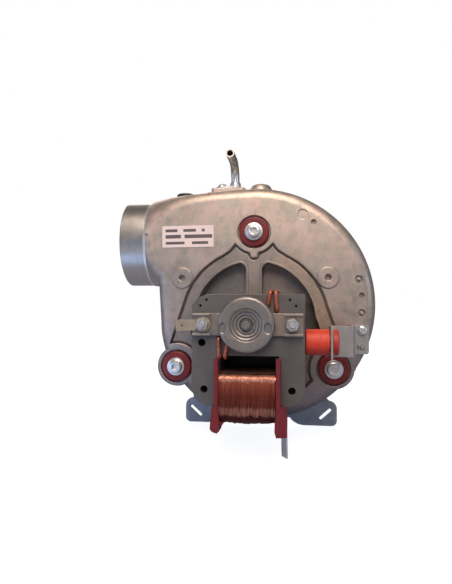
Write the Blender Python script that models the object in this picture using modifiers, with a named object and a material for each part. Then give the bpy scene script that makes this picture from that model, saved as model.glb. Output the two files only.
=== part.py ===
"""Combustion fan of a room-sealed gas boiler, as a bench assembly of separate pieces.

Everything is drawn in millimetres in a drawing frame: x to the right, y up, and z forward along the
shaft, with the origin where the shaft's axis meets the back of the mounting plate. One empty turns
that frame upright, so the motor faces -Y in the world, and scales it to metres.
"""

import math

import bmesh
import bpy
from mathutils import Matrix

GAP = 0.3                       # clearance left between touching pieces

# Casing
PLATE_T = 1.5                   # mounting plate
CASE_REAR = PLATE_T + GAP
CASE_FRONT = 61.0
WALL, DUCT_WALL = 3.0, 3.2
SCROLL_R0, SCROLL_GROWTH = 63.5, 25.2      # outer wall: smallest radius, and how much it opens
SCROLL_START, SCROLL_END = -100.0, 90.0    # degrees over which it opens, counter-clockwise
TOP_Y = SCROLL_R0 + SCROLL_GROWTH
DUCT_X, DUCT_LOW = -24.0, 24.4  # where the scroll hands over to the outlet duct, and its lower edge
OUTLET_Y, OUTLET_Z = 54.9, 31.6  # axis of the round flue spigot
SPIGOT_R, SPIGOT_BORE = 30.0, 28.2
SPIGOT_END_X, SHOULDER_X, COLLAR_R = -91.2, -77.0, 30.7
INLET_R, BELL_R = 30.0, 7.0     # inlet throat, and the radius its mouth is rolled to

# Three rubber bushes hold the motor carrier in the casing's front wall
BUSH_CIRCLE, BUSH_ANGLES = 59.0, (90.0, 210.0, 330.0)
BUSH_NAMES = ("top", "left", "right")
LUG_R, LUG_REAR = 13.2, 53.5
LUG_POCKET_REAR, LUG_POCKET_R = 43.0, 10.4
COUNTERBORE_R, COUNTERBORE_FLOOR = 10.75, 58.0
BUSH_NECK_R = 7.0
SLEEVE_R, SCREW_R = 3.4, 2.5

# Motor carrier, in the arch-shaped opening of the front wall
ARCH_R = 48.3
CARRIER_REAR, CARRIER_FRONT, CARRIER_FLOOR = 44.5, 59.5, 47.0
ARCH_GAP = 0.6
SPOKE_HALF = 5.25
WINDOW_R = 39.8

# Shaded-pole motor
STACK_REAR, STACK_FRONT = 77.0, 105.0
STACK_HALF, STACK_TOP, STACK_BOTTOM = 32.3, 17.2, -46.8
WINDOW_HALF, WINDOW_TOP = 17.6, -18.0
LIMB_TOP = -36.3
STUD_X, STUD_R = 25.3, 2.0
BORE_R, ROTOR_R, SHAFT_R = 14.0, 13.5, 2.5
BRIDGE_T, BRIDGE_HALF_X, BRIDGE_HALF_Y = 2.2, 31.4, 6.4
BEARING_R = 8.0
COVER_R = 15.75

# Impeller
IMPELLER_R, IMPELLER_EYE_R, BLADES, FAN_BLADES = 50.0, 32.5, 10, 7
IMPELLER_RING, IMPELLER_DISC = (9.8, 11.0), (36.8, 38.0)

# Rubber buffer beside the stack, on its bracket
BUFFER_Y, BUFFER_Z, BUFFER_R = -10.5, 91.0, 7.6
BRACKET_FOLD_X, BRACKET_TIP_X, BRACKET_T = 61.6, 47.4, 1.2

# Plate screws: angle round the shaft of each lug on the casing's rear edge
LUG_ANGLES = (50.0, -27.0, -95.0, -178.0)
REAR_LUG_R = 5.0
PLATE_LIP = 2.0

# Colour, metallic and roughness of each finish
FINISHES = {
    "die_cast": ((0.60, 0.56, 0.52), 0.85, 0.45),
    "plate_steel": ((0.56, 0.62, 0.70), 0.8, 0.4),
    "lamination": ((0.30, 0.29, 0.28), 0.7, 0.5),
    "zinc": ((0.75, 0.76, 0.77), 0.95, 0.3),
    "steel": ((0.62, 0.60, 0.58), 0.95, 0.3),
    "copper": ((0.72, 0.28, 0.12), 0.9, 0.35),
    "red_silicone": ((0.36, 0.03, 0.04), 0.0, 0.55),
    "orange_silicone": ((0.85, 0.10, 0.04), 0.0, 0.5),
    "red_plastic": ((0.42, 0.02, 0.03), 0.0, 0.4),
    "black_rubber": ((0.03, 0.03, 0.03), 0.0, 0.6),
    "brass": ((0.66, 0.56, 0.40), 0.8, 0.4),
    "paper": ((0.92, 0.82, 0.76), 0.0, 0.6),
    "nylon": ((0.72, 0.70, 0.66), 0.0, 0.5),
}


# ------------------------------------------------------------------------------- scene and helpers


def start_scene():
    """Empties the scene, and makes the two collections and the frame that every part hangs on."""
    for obj in list(bpy.data.objects):
        bpy.data.objects.remove(obj, do_unlink=True)
    homes = {}
    for name in ("combustion_fan", "cutters"):
        homes[name] = bpy.data.collections.new(name)
        bpy.context.scene.collection.children.link(homes[name])
    frame = bpy.data.objects.new("drawing_frame", None)
    frame.rotation_euler = (math.radians(90), 0, 0)
    frame.scale = (0.001, 0.001, 0.001)
    homes["combustion_fan"].objects.link(frame)
    return homes["combustion_fan"], homes["cutters"], frame


PARTS, CUTTERS, FRAME = start_scene()


def material(name, finish):
    """A Principled material of one finish."""
    colour, metallic, roughness = FINISHES[finish]
    made = bpy.data.materials.new(name)
    made.use_nodes = True
    shader = made.node_tree.nodes["Principled BSDF"]
    shader.inputs["Base Color"].default_value = (*colour, 1.0)
    shader.inputs["Metallic"].default_value = metallic
    shader.inputs["Roughness"].default_value = roughness
    return made


def place(name, mesh, finish=None):
    """Makes a part from a mesh, or a tool for a Boolean where it has no finish."""
    obj = bpy.data.objects.new(name, mesh)
    obj.parent = FRAME
    if finish is None:
        CUTTERS.objects.link(obj)
        obj.hide_render = True
        obj.display_type = "WIRE"
    else:
        PARTS.objects.link(obj)
        mesh.materials.append(material(name, finish))
        mesh.shade_smooth()
        mesh.set_sharp_from_angle(angle=math.radians(30))
    return obj


def boolean(target, operation, *meshes):
    """Adds one Boolean modifier to target for each mesh."""
    for mesh in meshes:
        tool = place(f"{target.name}_tool", mesh)
        step = target.modifiers.new(operation.title(), "BOOLEAN")
        step.operation = operation
        step.solver = "EXACT"
        step.object = tool
    return target


def cut(target, *meshes):
    return boolean(target, "DIFFERENCE", *meshes)


def join(target, *meshes):
    return boolean(target, "UNION", *meshes)


def mesh_from(bm, name="mesh"):
    """Closes a bmesh into a mesh with its faces pointing out."""
    bmesh.ops.recalc_face_normals(bm, faces=bm.faces)
    mesh = bpy.data.meshes.new(name)
    bm.to_mesh(mesh)
    bm.free()
    return mesh


def moved(mesh, *matrices):
    for matrix in matrices:
        mesh.transform(matrix)
    return mesh


def shift(x=0.0, y=0.0, z=0.0):
    return Matrix.Translation((x, y, z))


def turn(degrees, axis="Z"):
    return Matrix.Rotation(math.radians(degrees), 4, axis)


UPRIGHT = turn(-90, "X")        # takes a shape made along z to one along y
SIDEWAYS = turn(90, "Y")        # takes a shape made along z to one along x


def polar(radius, degrees, centre=(0.0, 0.0)):
    angle = math.radians(degrees)
    return (centre[0] + radius * math.cos(angle), centre[1] + radius * math.sin(angle))


def arc(radius, start, end, steps, centre=(0.0, 0.0)):
    """Points from one angle to another, both included."""
    return [polar(radius, start + (end - start) * i / steps, centre) for i in range(steps + 1)]


def circle(radius, sides, centre=(0.0, 0.0)):
    return arc(radius, 0.0, 360.0 * (sides - 1) / sides, sides - 1, centre)


def rounded_box(x0, x1, y0, y1, radius, steps=4):
    """Outline of a rectangle with round corners, counter-clockwise."""
    corners = ((x1 - radius, y1 - radius, 0), (x0 + radius, y1 - radius, 90),
               (x0 + radius, y0 + radius, 180), (x1 - radius, y0 + radius, 270))
    return [p for cx, cy, a in corners for p in arc(radius, a, a + 90, steps, (cx, cy))]


def sheet_mesh(outlines, thickness):
    """A mesh from a filled 2D curve: the first outline is the edge, the others are holes."""
    curve = bpy.data.curves.new("outline", "CURVE")
    curve.dimensions = "2D"
    curve.fill_mode = "BOTH"
    curve.extrude = thickness / 2
    for outline in outlines:
        spline = curve.splines.new("POLY")
        spline.points.add(len(outline) - 1)
        for point, (x, y) in zip(spline.points, outline):
            point.co = (x, y, 0, 1)
        spline.use_cyclic_u = True
    return converted(curve)


def converted(curve):
    """Turns a curve into a mesh with its caps welded, and removes the curve."""
    obj = bpy.data.objects.new("curve", curve)
    bpy.context.scene.collection.objects.link(obj)
    bpy.context.view_layer.update()
    mesh = bpy.data.meshes.new_from_object(obj.evaluated_get(bpy.context.evaluated_depsgraph_get()))
    bpy.data.objects.remove(obj, do_unlink=True)
    bm = bmesh.new()
    bm.from_mesh(mesh)
    bmesh.ops.remove_doubles(bm, verts=bm.verts, dist=0.001)
    return mesh_from(bm)


def slab(z0, z1, *outlines):
    """A flat outline, with holes, extruded from depth z0 to depth z1."""
    return moved(sheet_mesh(outlines, z1 - z0), shift(z=(z0 + z1) / 2))


def drum(radius, z0, z1, centre=(0.0, 0.0), sides=32, tip=None):
    """A cylinder, or a cone where its front radius is given as tip."""
    bm = bmesh.new()
    bmesh.ops.create_cone(bm, cap_ends=True, segments=sides, radius1=radius,
                          radius2=radius if tip is None else tip, depth=z1 - z0)
    return moved(mesh_from(bm), shift(*centre, (z0 + z1) / 2))


def block(x0, x1, y0, y1, z0, z1):
    bm = bmesh.new()
    bmesh.ops.create_cube(bm, size=1.0)
    bmesh.ops.scale(bm, vec=(x1 - x0, y1 - y0, z1 - z0), verts=bm.verts)
    return moved(mesh_from(bm), shift((x0 + x1) / 2, (y0 + y1) / 2, (z0 + z1) / 2))


def turned(name, finish, profile, sides=24, place_by=()):
    """A part turned about z from (radius, z) points: a ring's profile closes, a solid's ends on the axis."""
    mesh = bpy.data.meshes.new(name)
    edges = [(i, i + 1) for i in range(len(profile) - 1)]
    if profile[0][0] > 0:
        edges.append((len(profile) - 1, 0))
    mesh.from_pydata([(r, 0, z) for r, z in profile], edges, [])
    obj = bpy.data.objects.new(name, mesh)
    screw = obj.modifiers.new("Screw", "SCREW")
    screw.steps = screw.render_steps = sides
    screw.use_merge_vertices = True
    screw.merge_threshold = 0.0001
    bpy.context.scene.collection.objects.link(obj)
    bpy.context.view_layer.update()
    solid = bpy.data.meshes.new_from_object(obj.evaluated_get(bpy.context.evaluated_depsgraph_get()))
    bpy.data.objects.remove(obj, do_unlink=True)
    bm = bmesh.new()
    bm.from_mesh(solid)
    bmesh.ops.remove_doubles(bm, verts=bm.verts, dist=0.0001)
    bmesh.ops.dissolve_degenerate(bm, dist=0.0001, edges=bm.edges)
    solid = moved(mesh_from(bm, name), *place_by)
    return place(name, solid, finish)


def ring(r_in, r_out, z0, z1, chamfer=0.0):
    """Profile of a tube or washer, with its outer edges chamfered."""
    c = chamfer
    outer = [(r_out - c, z1), (r_out, z1 - c), (r_out, z0 + c), (r_out - c, z0)] if c else [
        (r_out, z1), (r_out, z0)]
    return [(r_in, z1), *outer, (r_in, z0)]


def wire(points, radius, closed=False, resolution=2):
    """A round wire through the points, as a mesh."""
    curve = bpy.data.curves.new("wire", "CURVE")
    curve.dimensions = "3D"
    curve.bevel_depth = radius
    curve.bevel_resolution = resolution
    curve.use_fill_caps = not closed
    spline = curve.splines.new("POLY")
    spline.points.add(len(points) - 1)
    for point, co in zip(spline.points, points):
        point.co = (*co, 1)
    spline.use_cyclic_u = closed
    return converted(curve)


def loft(sections):
    """A closed solid through rings of equal count: the one shape that no primitive makes."""
    bm = bmesh.new()
    rings = [[bm.verts.new(p) for p in section] for section in sections]
    for lower, upper in zip(rings, rings[1:]):
        for i in range(len(lower)):
            j = (i + 1) % len(lower)
            bm.faces.new((lower[i], lower[j], upper[j], upper[i]))
    bm.faces.new(rings[0])
    bm.faces.new(rings[-1])
    return mesh_from(bm)


def soften(mesh, width, steps, keep):
    """Rounds the edges that keep(edge) picks."""
    bm = bmesh.new()
    bm.from_mesh(mesh)
    picked = [edge for edge in bm.edges if keep(edge)]
    bmesh.ops.bevel(bm, geom=picked, offset=width, segments=steps, profile=0.5, affect="EDGES")
    return mesh_from(bm)


# ------------------------------------------------------------------------------------------ casing


def scroll_radius(degrees):
    """Outer wall's distance from the shaft: it opens with a cosine ease."""
    t = min(1.0, max(0.0, (degrees - SCROLL_START) / (SCROLL_END - SCROLL_START)))
    return SCROLL_R0 + SCROLL_GROWTH * (1 - math.cos(math.pi * t)) / 2


def scroll_outline(inset, step=7.5):
    """The scroll's wall from the left side round below to the top."""
    return [polar(scroll_radius(step * i) - inset, step * i) for i in range(-24, 13)]


def casing_prism():
    """The scroll and the flat corner under the spigot, with the front edge rounded."""
    outline = scroll_outline(0.0) + [
        (-28.0, TOP_Y), (-30.0, 58.0), (-71.5, 51.0), (-65.0, DUCT_LOW)]
    mesh = slab(CASE_REAR, CASE_FRONT, outline)

    def on_front_rim(edge):
        a, b = (v.co for v in edge.verts)
        outside = min(a.x, b.x) > -29.0 or max(a.y, b.y) < 25.0
        return min(a.z, b.z) > CASE_FRONT - 0.01 and outside and len(edge.link_faces) == 2 and (
            edge.calc_face_angle() > 1.0)

    return soften(mesh, 3.0, 2, on_front_rim)


def duct_section(x, grow):
    """Rounded rectangle across the outlet duct at x, whose corners open out toward the spigot."""
    t = (DUCT_X - x) / (DUCT_X - SHOULDER_X)
    low = (DUCT_LOW - grow) * (1 - t) + (OUTLET_Y - COLLAR_R - grow) * t
    high = (TOP_Y - 1.2 - 2.4 * t + grow) * (1 - t) + (OUTLET_Y + COLLAR_R + grow) * t
    rear, front = CASE_REAR + 0.02 - grow, CASE_FRONT + grow
    radius = min(4.0 + (COLLAR_R + grow - 4.0) * t ** 1.6, (front - rear) / 2) - 0.02
    return [(x, y, z) for z, y in rounded_box(rear, front, low, high, radius, 5)]


def duct_mesh(grow, last_x):
    xs = [DUCT_X + (last_x - DUCT_X) * i / 6 for i in range(7)]
    return loft([duct_section(x, grow) for x in xs])


def arch_outline(inset):
    """Edge of the front wall's opening; the carrier's edge is the same line, inset by the gap."""
    right_lug = polar(BUSH_CIRCLE, BUSH_ANGLES[2])
    lug_r = 15.4 + inset
    half = [(3.0 + inset, 45.6 - inset), *arc(14.0 + inset, -68, -40, 3, (0.0, BUSH_CIRCLE))]
    half += [(12.4 - inset * 0.3, 51.4 - inset * 1.6), (15.8 - inset, 47.0 - inset * 0.6)]
    half += arc(ARCH_R - inset, 64, 15, 9)
    half += arc(lug_r, 72 + 6 * inset, 210 - 2.8 * inset, 9, right_lug)
    half += arc(53.0 - inset, -47, -90, 5)
    tab_x, tab_y = 2.1 + inset * 0.6, 42.4 - inset
    half = [(tab_x, tab_y), *half]
    return [(0.0, 41.6 - inset), *half, *[(-x, y) for x, y in reversed(half[:-1])]]


def rear_lugs():
    """Centres of the plate screws' lugs, just outside the casing's wall."""
    return [polar(scroll_radius(a) + 2.5, a) for a in LUG_ANGLES] + [(-40.0, TOP_Y + 2.0)]


def bush_centres():
    return [polar(BUSH_CIRCLE, angle) for angle in BUSH_ANGLES]


def volute_housing():
    """The die-cast scroll with its spigot, its front opening, its bush lugs and its small bosses."""
    housing = place("volute_housing", casing_prism(), "die_cast")
    barrel = moved(drum(COLLAR_R, SHOULDER_X, -66.0, sides=40), SIDEWAYS)
    spigot = moved(drum(SPIGOT_R, SPIGOT_END_X, SHOULDER_X + 4, sides=40), SIDEWAYS)
    on_axis = shift(y=OUTLET_Y, z=OUTLET_Z)
    join(housing, duct_mesh(0.0, SHOULDER_X + 3), moved(barrel, on_axis), moved(spigot, on_axis))
    join(housing, *[drum(LUG_R, 40.0, 60.6, centre, 28) for centre in bush_centres()[1:]])
    join(housing, *[drum(REAR_LUG_R, CASE_REAR + 0.01, 10.0, centre, 12) for centre in rear_lugs()])
    join(housing, slab(22.0, 40.0, rounded_box(-32.0, -8.0, 85.0, 93.5, 2.0, 2)))
    join(housing, moved(drum(6.5, 84.0, 97.5, sides=16, tip=6.0), UPRIGHT, shift(3.5, 0.0, 31.0)))
    cavity = scroll_outline(WALL)[1:] + [(-20.0, TOP_Y - WALL), (-45.0, 38.0), (-59.4, 4.0)]
    cut(housing, slab(-1.0, CASE_FRONT - WALL, cavity), duct_mesh(-DUCT_WALL, -70.0))
    cut(housing, moved(drum(SPIGOT_BORE, -100.0, -64.0, sides=40), SIDEWAYS, on_axis))
    join(housing, *[drum(LUG_R - 0.7, LUG_REAR, CASE_FRONT - 1.0, centre, 28) for centre in bush_centres()])
    join(housing, drum(3.6, 50.0, 59.0, (68.6, -4.4), 12))
    cut(housing, slab(50.0, 70.0, arch_outline(0.0)))
    for centre in bush_centres():
        cut(housing, drum(COUNTERBORE_R, COUNTERBORE_FLOOR, 70.0, centre, 28),
            drum(BUSH_NECK_R + GAP, 50.0, 70.0, centre, 20))
    for centre in bush_centres()[1:]:
        cut(housing, drum(LUG_POCKET_R, LUG_POCKET_REAR, LUG_REAR - 0.02, centre, 24))
    for x in (-47.7, 47.7):
        join(housing, drum(7.0, 60.0, 62.0, (x, 28.9), 20))
        cut(housing, drum(1.9, 59.5, 70.0, (x, 28.9), 8))
    join(housing, *[drum(1.2, 60.0, 62.4, p, 8) for p in ((66.9, 27.9), (68.5, 6.3), (68.6, -15.6))])
    cut(housing, drum(1.8, 57.0, 70.0, (68.5, 17.5), 8), drum(1.7, 51.5, 70.0, (68.6, -4.4), 10))
    cut(housing, *[drum(1.7, 0.0, 9.0, centre, 8) for centre in rear_lugs()])
    cut(housing, moved(drum(2.6, 80.0, 100.0, sides=12), UPRIGHT, shift(-15.6, 0.0, 33.0)),
        moved(drum(1.7, 86.0, 100.0, sides=10), UPRIGHT, shift(-25.2, 0.0, 31.0)),
        moved(drum(4.6, 80.0, 100.0, sides=16), UPRIGHT, shift(-51.9, 0.0, 31.0)))


def plate_radius(degrees):
    """The plate's edge: a lip round the scroll, which follows each lug that it meets."""
    radius = scroll_radius(degrees) + PLATE_LIP
    for x, y in rear_lugs():
        along, aside = (x * math.cos(math.radians(degrees)) + y * math.sin(math.radians(degrees)),
                        x * math.sin(math.radians(degrees)) - y * math.cos(math.radians(degrees)))
        reach = (REAR_LUG_R + 0.6) ** 2 - aside ** 2
        if reach > 0 and along > 0:
            radius = max(radius, along + math.sqrt(reach))
    return radius


def plate_outline():
    """The mounting plate: the scroll with a lip, an ear for each lug, and two feet below."""
    points = [polar(plate_radius(degrees), degrees) for degrees in range(-50, 91, 4)]
    points += [(-34.0, TOP_Y + 2.5), *arc(REAR_LUG_R + 0.6, 60, 150, 4, rear_lugs()[-1]), (-60.0, 84.0),
               (-64.0, 60.0), (-65.5, 24.0)]
    points += [polar(plate_radius(degrees), degrees) for degrees in range(-188, -132, 4)]
    points += [(-52.0, -60.0), (-57.6, -64.0), *arc(4.0, 180, 270, 4, (-53.6, -75.0))]
    points += [(-31.0, -79.0), *[polar(76.0, degrees) for degrees in range(-108, -70, 6)]]
    points += [(31.0, -79.0), *arc(4.0, -90, 0, 4, (53.6, -75.0)), (57.6, -64.0), (52.0, -60.0)]
    return points


def slot_outline(centre, degrees, length, width):
    """A round-ended slot."""
    half = (length - width) / 2
    ends = arc(width / 2, -90, 90, 5, (half, 0.0)) + arc(width / 2, 90, 270, 5, (-half, 0.0))
    c, s = math.cos(math.radians(degrees)), math.sin(math.radians(degrees))
    return [(centre[0] + x * c - y * s, centre[1] + x * s + y * c) for x, y in ends]


def rear_plate():
    """Flat sheet whose inlet is drawn forward into a bell mouth, made as a surface with Solidify."""
    holes = [circle(1.8, 8, centre) for centre in rear_lugs()]
    holes += [slot_outline((side * 49.0, -70.2), side * 42.0, 12.4, 3.4) for side in (-1, 1)]
    mouth = circle(INLET_R + BELL_R, 40)
    mesh = sheet_mesh([plate_outline(), mouth, *holes], 0.0)
    bm = bmesh.new()
    bm.from_mesh(mesh)
    rim = [e for e in bm.edges if e.is_boundary
           and all(abs(math.hypot(*v.co.xy) - INLET_R - BELL_R) < 0.05 for v in e.verts)]
    steps = [math.radians(a) for a in (30, 60, 90)]
    levels = [(INLET_R + BELL_R * (1 - math.sin(a)), BELL_R * (1 - math.cos(a))) for a in steps]
    for radius, height in levels + [(INLET_R, BELL_R + 1.5)]:
        grown = bmesh.ops.extrude_edge_only(bm, edges=rim)["geom"]
        rim = [g for g in grown if isinstance(g, bmesh.types.BMEdge)]
        for vert in {v for e in rim for v in e.verts}:
            scale = radius / math.hypot(*vert.co.xy)
            vert.co.x, vert.co.y, vert.co.z = vert.co.x * scale, vert.co.y * scale, height
    bmesh.ops.recalc_face_normals(bm, faces=bm.faces)
    if sum(f.normal.z * f.calc_area() for f in bm.faces) < 0:
        bmesh.ops.reverse_faces(bm, faces=bm.faces)
    surface = bpy.data.meshes.new("rear_plate")
    bm.to_mesh(surface)
    bm.free()
    plate = place("rear_plate", surface, "plate_steel")
    solid = plate.modifiers.new("Solidify", "SOLIDIFY")
    solid.thickness = PLATE_T
    solid.offset = 1.0
    solid.use_even_offset = True


def screw_profile(head_r, head_0, head_1, shank_r, tip):
    """A round-headed screw that points to the rear: its head ends at head_1."""
    dome = 0.35 * (head_1 - head_0)
    return [(0.0, head_1), (head_r * 0.7, head_1), (head_r, head_1 - dome), (head_r, head_0),
            (shank_r, head_0), (shank_r, tip), (0.0, tip)]


def plate_screws():
    """Five screws from behind the plate into the casing's lugs."""
    head = [(0.0, 8.0), (1.35, 8.0), (1.35, -GAP), (3.6, -GAP), (3.6, -1.5), (2.5, -2.4), (0.0, -2.4)]
    for index, (x, y) in enumerate(rear_lugs(), 1):
        turned(f"plate_screw_{index}", "zinc", head, 12, (shift(x, y),))


# --------------------------------------------------------------------- motor carrier and its bushes


def window_outline(side):
    """One of the two pockets beside the carrier's spoke."""
    half = [(SPOKE_HALF, 12.0), (SPOKE_HALF, 35.5), (6.2, 37.6), (8.2, 38.9), (11.5, 38.2)]
    half += arc(WINDOW_R, 70, 5, 10)
    half += [(42.4, -4.0), (40.5, -12.0), (34.5, -21.0), (20.0, -24.0), (12.5, -12.0), (11.5, 0.0),
             (9.0, 8.0)]
    return [(side * x, y) for x, y in half]


def motor_carrier():
    """Cast frame with a closed floor; its flange lies behind the casing's front wall."""
    carrier = place("motor_carrier", slab(CARRIER_REAR, CARRIER_FRONT, arch_outline(ARCH_GAP)), "die_cast")
    join(carrier, drum(54.5, 54.0, COUNTERBORE_FLOOR - 0.4, sides=48))
    for centre in bush_centres():
        cut(carrier, drum(LUG_R + 0.5, 52.8, 70.0, centre, 28))
    for angle, centre in zip(BUSH_ANGLES, bush_centres()):
        arm = block(44.0, BUSH_CIRCLE, -6.0, 6.0, CARRIER_REAR + 0.05, 49.1)
        join(carrier, moved(arm, turn(angle)), drum(6.3, CARRIER_REAR + 0.1, 49.0, centre, 16))
        cut(carrier, drum(10.2, 48.9, 60.0, centre, 24), drum(2.75, 45.5, 60.0, centre, 12))
    cut(carrier, *[slab(CARRIER_FLOOR, 70.0, window_outline(side)) for side in (1, -1)])
    cut(carrier, slab(50.0, 70.0, arc(44.0, -125, -55, 6) + [(14.0, -27.0), (-14.0, -27.0)]))
    join(carrier, *[drum(5.0, 46.0, CARRIER_FRONT, (x, 0.0), 16, 4.2) for x in (-STUD_X, STUD_X)])
    cut(carrier, *[drum(STUD_R + GAP, 49.0, 70.0, (x, 0.0), 12) for x in (-STUD_X, STUD_X)])
    cut(carrier, drum(4.2, 40.0, 70.0, sides=16))


def bushes():
    """At each lug: a silicone grommet, the steel sleeve inside it, and the screw through both."""
    grommet = [(3.7, 62.2), (9.1, 62.2), (9.9, 61.4), (9.9, 58.3), (BUSH_NECK_R, 58.3),
               (BUSH_NECK_R, 53.2), (9.5, 53.2), (9.5, 49.8), (3.7, 49.8)]
    for name, (x, y) in zip(BUSH_NAMES, bush_centres()):
        turned(f"bush_{name}", "red_silicone", grommet, 20, (shift(x, y),))
        turned(f"bush_sleeve_{name}", "steel", ring(2.8, SLEEVE_R, 49.4, 62.4), 14, (shift(x, y),))
        screw = turned(f"bush_screw_{name}", "zinc", [
            (0.0, 66.8), (3.6, 66.8), (4.3, 66.0), (4.3, 64.0), (5.9, 63.7), (5.9, 62.7),
            (SCREW_R, 62.7), (SCREW_R, 46.2), (0.0, 46.2)], 16, (shift(x, y),))
        cut(screw, drum(2.3, 64.9, 70.0, (x, y), 6))


# -------------------------------------------------------------------------------------------- motor


SHADING_RINGS = {       # foot beside the rotor's bore, and the side that wraps over the core's edge
    "upper_inner": ((11.4, 10.9), (12.9, 18.6)),
    "upper_outer": ((16.4, 8.1), (16.0, 18.6)),
    "lower_inner": ((-11.4, -10.9), (-12.9, -19.4)),
    "lower_outer": ((-16.4, -8.1), (-16.0, -19.4)),
}
RING_WIRE_R = 1.1


def stator_core():
    """Stack of laminations: an inverted U with the rotor's bore across its top."""
    corner = 11.4
    bottom_left = arc(corner, 180, 270, 5, (-STACK_HALF + corner, STACK_BOTTOM + corner))
    bottom_right = arc(corner, 270, 360, 5, (STACK_HALF - corner, STACK_BOTTOM + corner))
    outline = [(STACK_HALF, STACK_TOP), (-27.2, STACK_TOP), (-STACK_HALF, 10.9), *bottom_left,
               (-WINDOW_HALF, STACK_BOTTOM), (-WINDOW_HALF, WINDOW_TOP), (WINDOW_HALF, WINDOW_TOP),
               (WINDOW_HALF, STACK_BOTTOM), *bottom_right]
    holes = [circle(STUD_R + 0.4, 12, (x, 0.0)) for x in (-STUD_X, STUD_X)]
    holes += [circle(1.8, 10, centre) for centre in ((-26.4, -10.6), (-25.0, -37.2), (25.0, -37.2))]
    core = place("stator_core", slab(STACK_REAR, STACK_FRONT, outline, *holes), "lamination")
    cut(core, drum(BORE_R, 70.0, 110.0, sides=32))
    cut(core, *[drum(RING_WIRE_R + GAP, 70.0, 110.0, foot, 8) for foot, _ in SHADING_RINGS.values()])


def shading_rings():
    """Closed copper loops, each through the core beside the bore and round its outer edge."""
    rear, front = STACK_REAR - 1.5, STACK_FRONT + 1.5
    for name, (foot, edge) in SHADING_RINGS.items():
        path = [(*foot, rear), (*foot, front), (*edge, front), (*edge, rear)]
        mesh = wire(rounded_path(path, 0.8), RING_WIRE_R, closed=True)
        place(f"shading_ring_{name}", mesh, "copper")


def rounded_path(path, radius):
    """A closed path with each corner cut by two points."""
    points = []
    for index, (x, y, z) in enumerate(path):
        for other in (path[index - 1], path[(index + 1) % len(path)]):
            length = math.dist((x, y, z), other)
            points.append(tuple(a + (b - a) * radius / length for a, b in zip((x, y, z), other)))
    return points


def winding():
    """The yoke that closes the core, the bobbin on it, the coil, and the two terminals."""
    place("stator_limb", block(-17.3, 17.3, STACK_BOTTOM + GAP, LIMB_TOP, 77.3, 104.7), "lamination")
    low, high = STACK_BOTTOM - 1.2, LIMB_TOP + 1.4
    bobbin = place("bobbin", block(-17.2, 17.2, low, high, 75.8, 106.2), "red_plastic")
    flange = [(65.0, WINDOW_TOP - 0.2), (74.0, WINDOW_TOP - 0.2), (74.0, -21.0), (107.8, -21.0),
              (107.8, WINDOW_TOP - 0.2), (117.3, WINDOW_TOP - 0.2), (117.3, -58.4), (65.0, -58.4)]
    for side in (-1, 1):
        plate = moved(slab(-0.75, 0.75, [(-z, y) for z, y in flange]), SIDEWAYS, shift(x=side * 16.5))
        join(bobbin, plate)
    join(bobbin, block(-21.0, -16.6, -59.2, -44.0, 106.4, 117.2),
         block(16.6, 23.3, -61.0, -44.0, 106.4, 117.2))
    cut(bobbin, block(-20.0, 20.0, STACK_BOTTOM - GAP, LIMB_TOP + 0.4, 76.9, 105.1))
    cut(bobbin, block(-20.2, -17.8, -65.0, -50.0, 107.6, 116.0),
        block(18.5, 22.3, -65.0, -50.0, 107.6, 116.0))
    section = rounded_box(66.0, 116.3, -55.4, -27.7, 6.5, 5)
    hole = rounded_box(75.4, 106.6, low - GAP, high + GAP, 0.6, 1)
    coil = slab(-15.3, 15.3, [(-z, y) for z, y in section], [(-z, y) for z, y in hole])
    place("coil", moved(coil, SIDEWAYS), "copper")
    blade = block(-0.4, 0.4, -12.0, 12.0, -3.15, 3.15)
    place("terminal_right", moved(blade, turn(14, "Y"), turn(3, "Z"), shift(20.9, -62.6, 111.8)), "zinc")
    stub = block(-0.4, 0.4, -5.0, 5.0, -3.15, 3.15)
    place("terminal_left", moved(stub, shift(-19.0, -55.6, 111.8)), "zinc")


def bridge(name, back):
    """A cast bearing bridge across the core's front; back moves it behind the core."""
    z0, z1 = STACK_FRONT + GAP, STACK_FRONT + GAP + BRIDGE_T
    studs = [circle(STUD_R + 0.4, 12, (x, 0.0)) for x in (-STUD_X, STUD_X)]
    edge = rounded_box(-BRIDGE_HALF_X, BRIDGE_HALF_X, -BRIDGE_HALF_Y, BRIDGE_HALF_Y, 1.0, 2)
    obj = place(name, moved(slab(z0, z1, edge, *studs), *back), "die_cast")
    for side in (-1, 1):
        for rib in (-1, 1):
            x0, x1 = sorted((side * 20.8, side * (BRIDGE_HALF_X - 0.2)))
            y0, y1 = sorted((rib * 5.0, rib * (BRIDGE_HALF_Y - 0.05)))
            join(obj, moved(block(x0, x1, y0, y1, z1 - 1.0, z1 + 2.2), *back))
    join(obj, moved(drum(13.0, z0 + 0.05, 113.5, sides=24), turn(4), *back))
    cut(obj, moved(drum(BEARING_R + GAP, z0 + 1.3, 120.0, sides=24), *back),
        moved(drum(4.0, 100.0, 120.0, sides=16), *back))


def bearings_and_covers():
    """At each end: a ball bearing, as one ring, and the pressed cap over it."""
    cap = [(4.6, 115.0), (9.6, 115.0), (10.0, 115.5), (14.3, 115.5), (COVER_R, 114.2),
           (COVER_R, 110.2), (13.5, 110.2), (13.5, 113.8), (4.6, 113.8)]
    middle = (STACK_REAR + STACK_FRONT) / 2
    for end, back in (("front", ()), ("rear", (shift(z=-middle), turn(180, "Y"), shift(z=middle)))):
        turned(f"bearing_{end}", "steel", ring(SHAFT_R + 0.15, BEARING_R, 107.0, 112.0), 20, back)
        turned(f"bearing_cap_{end}", "steel", cap, 24, back)
        bridge(f"bearing_bridge_{end}", back)


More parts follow.
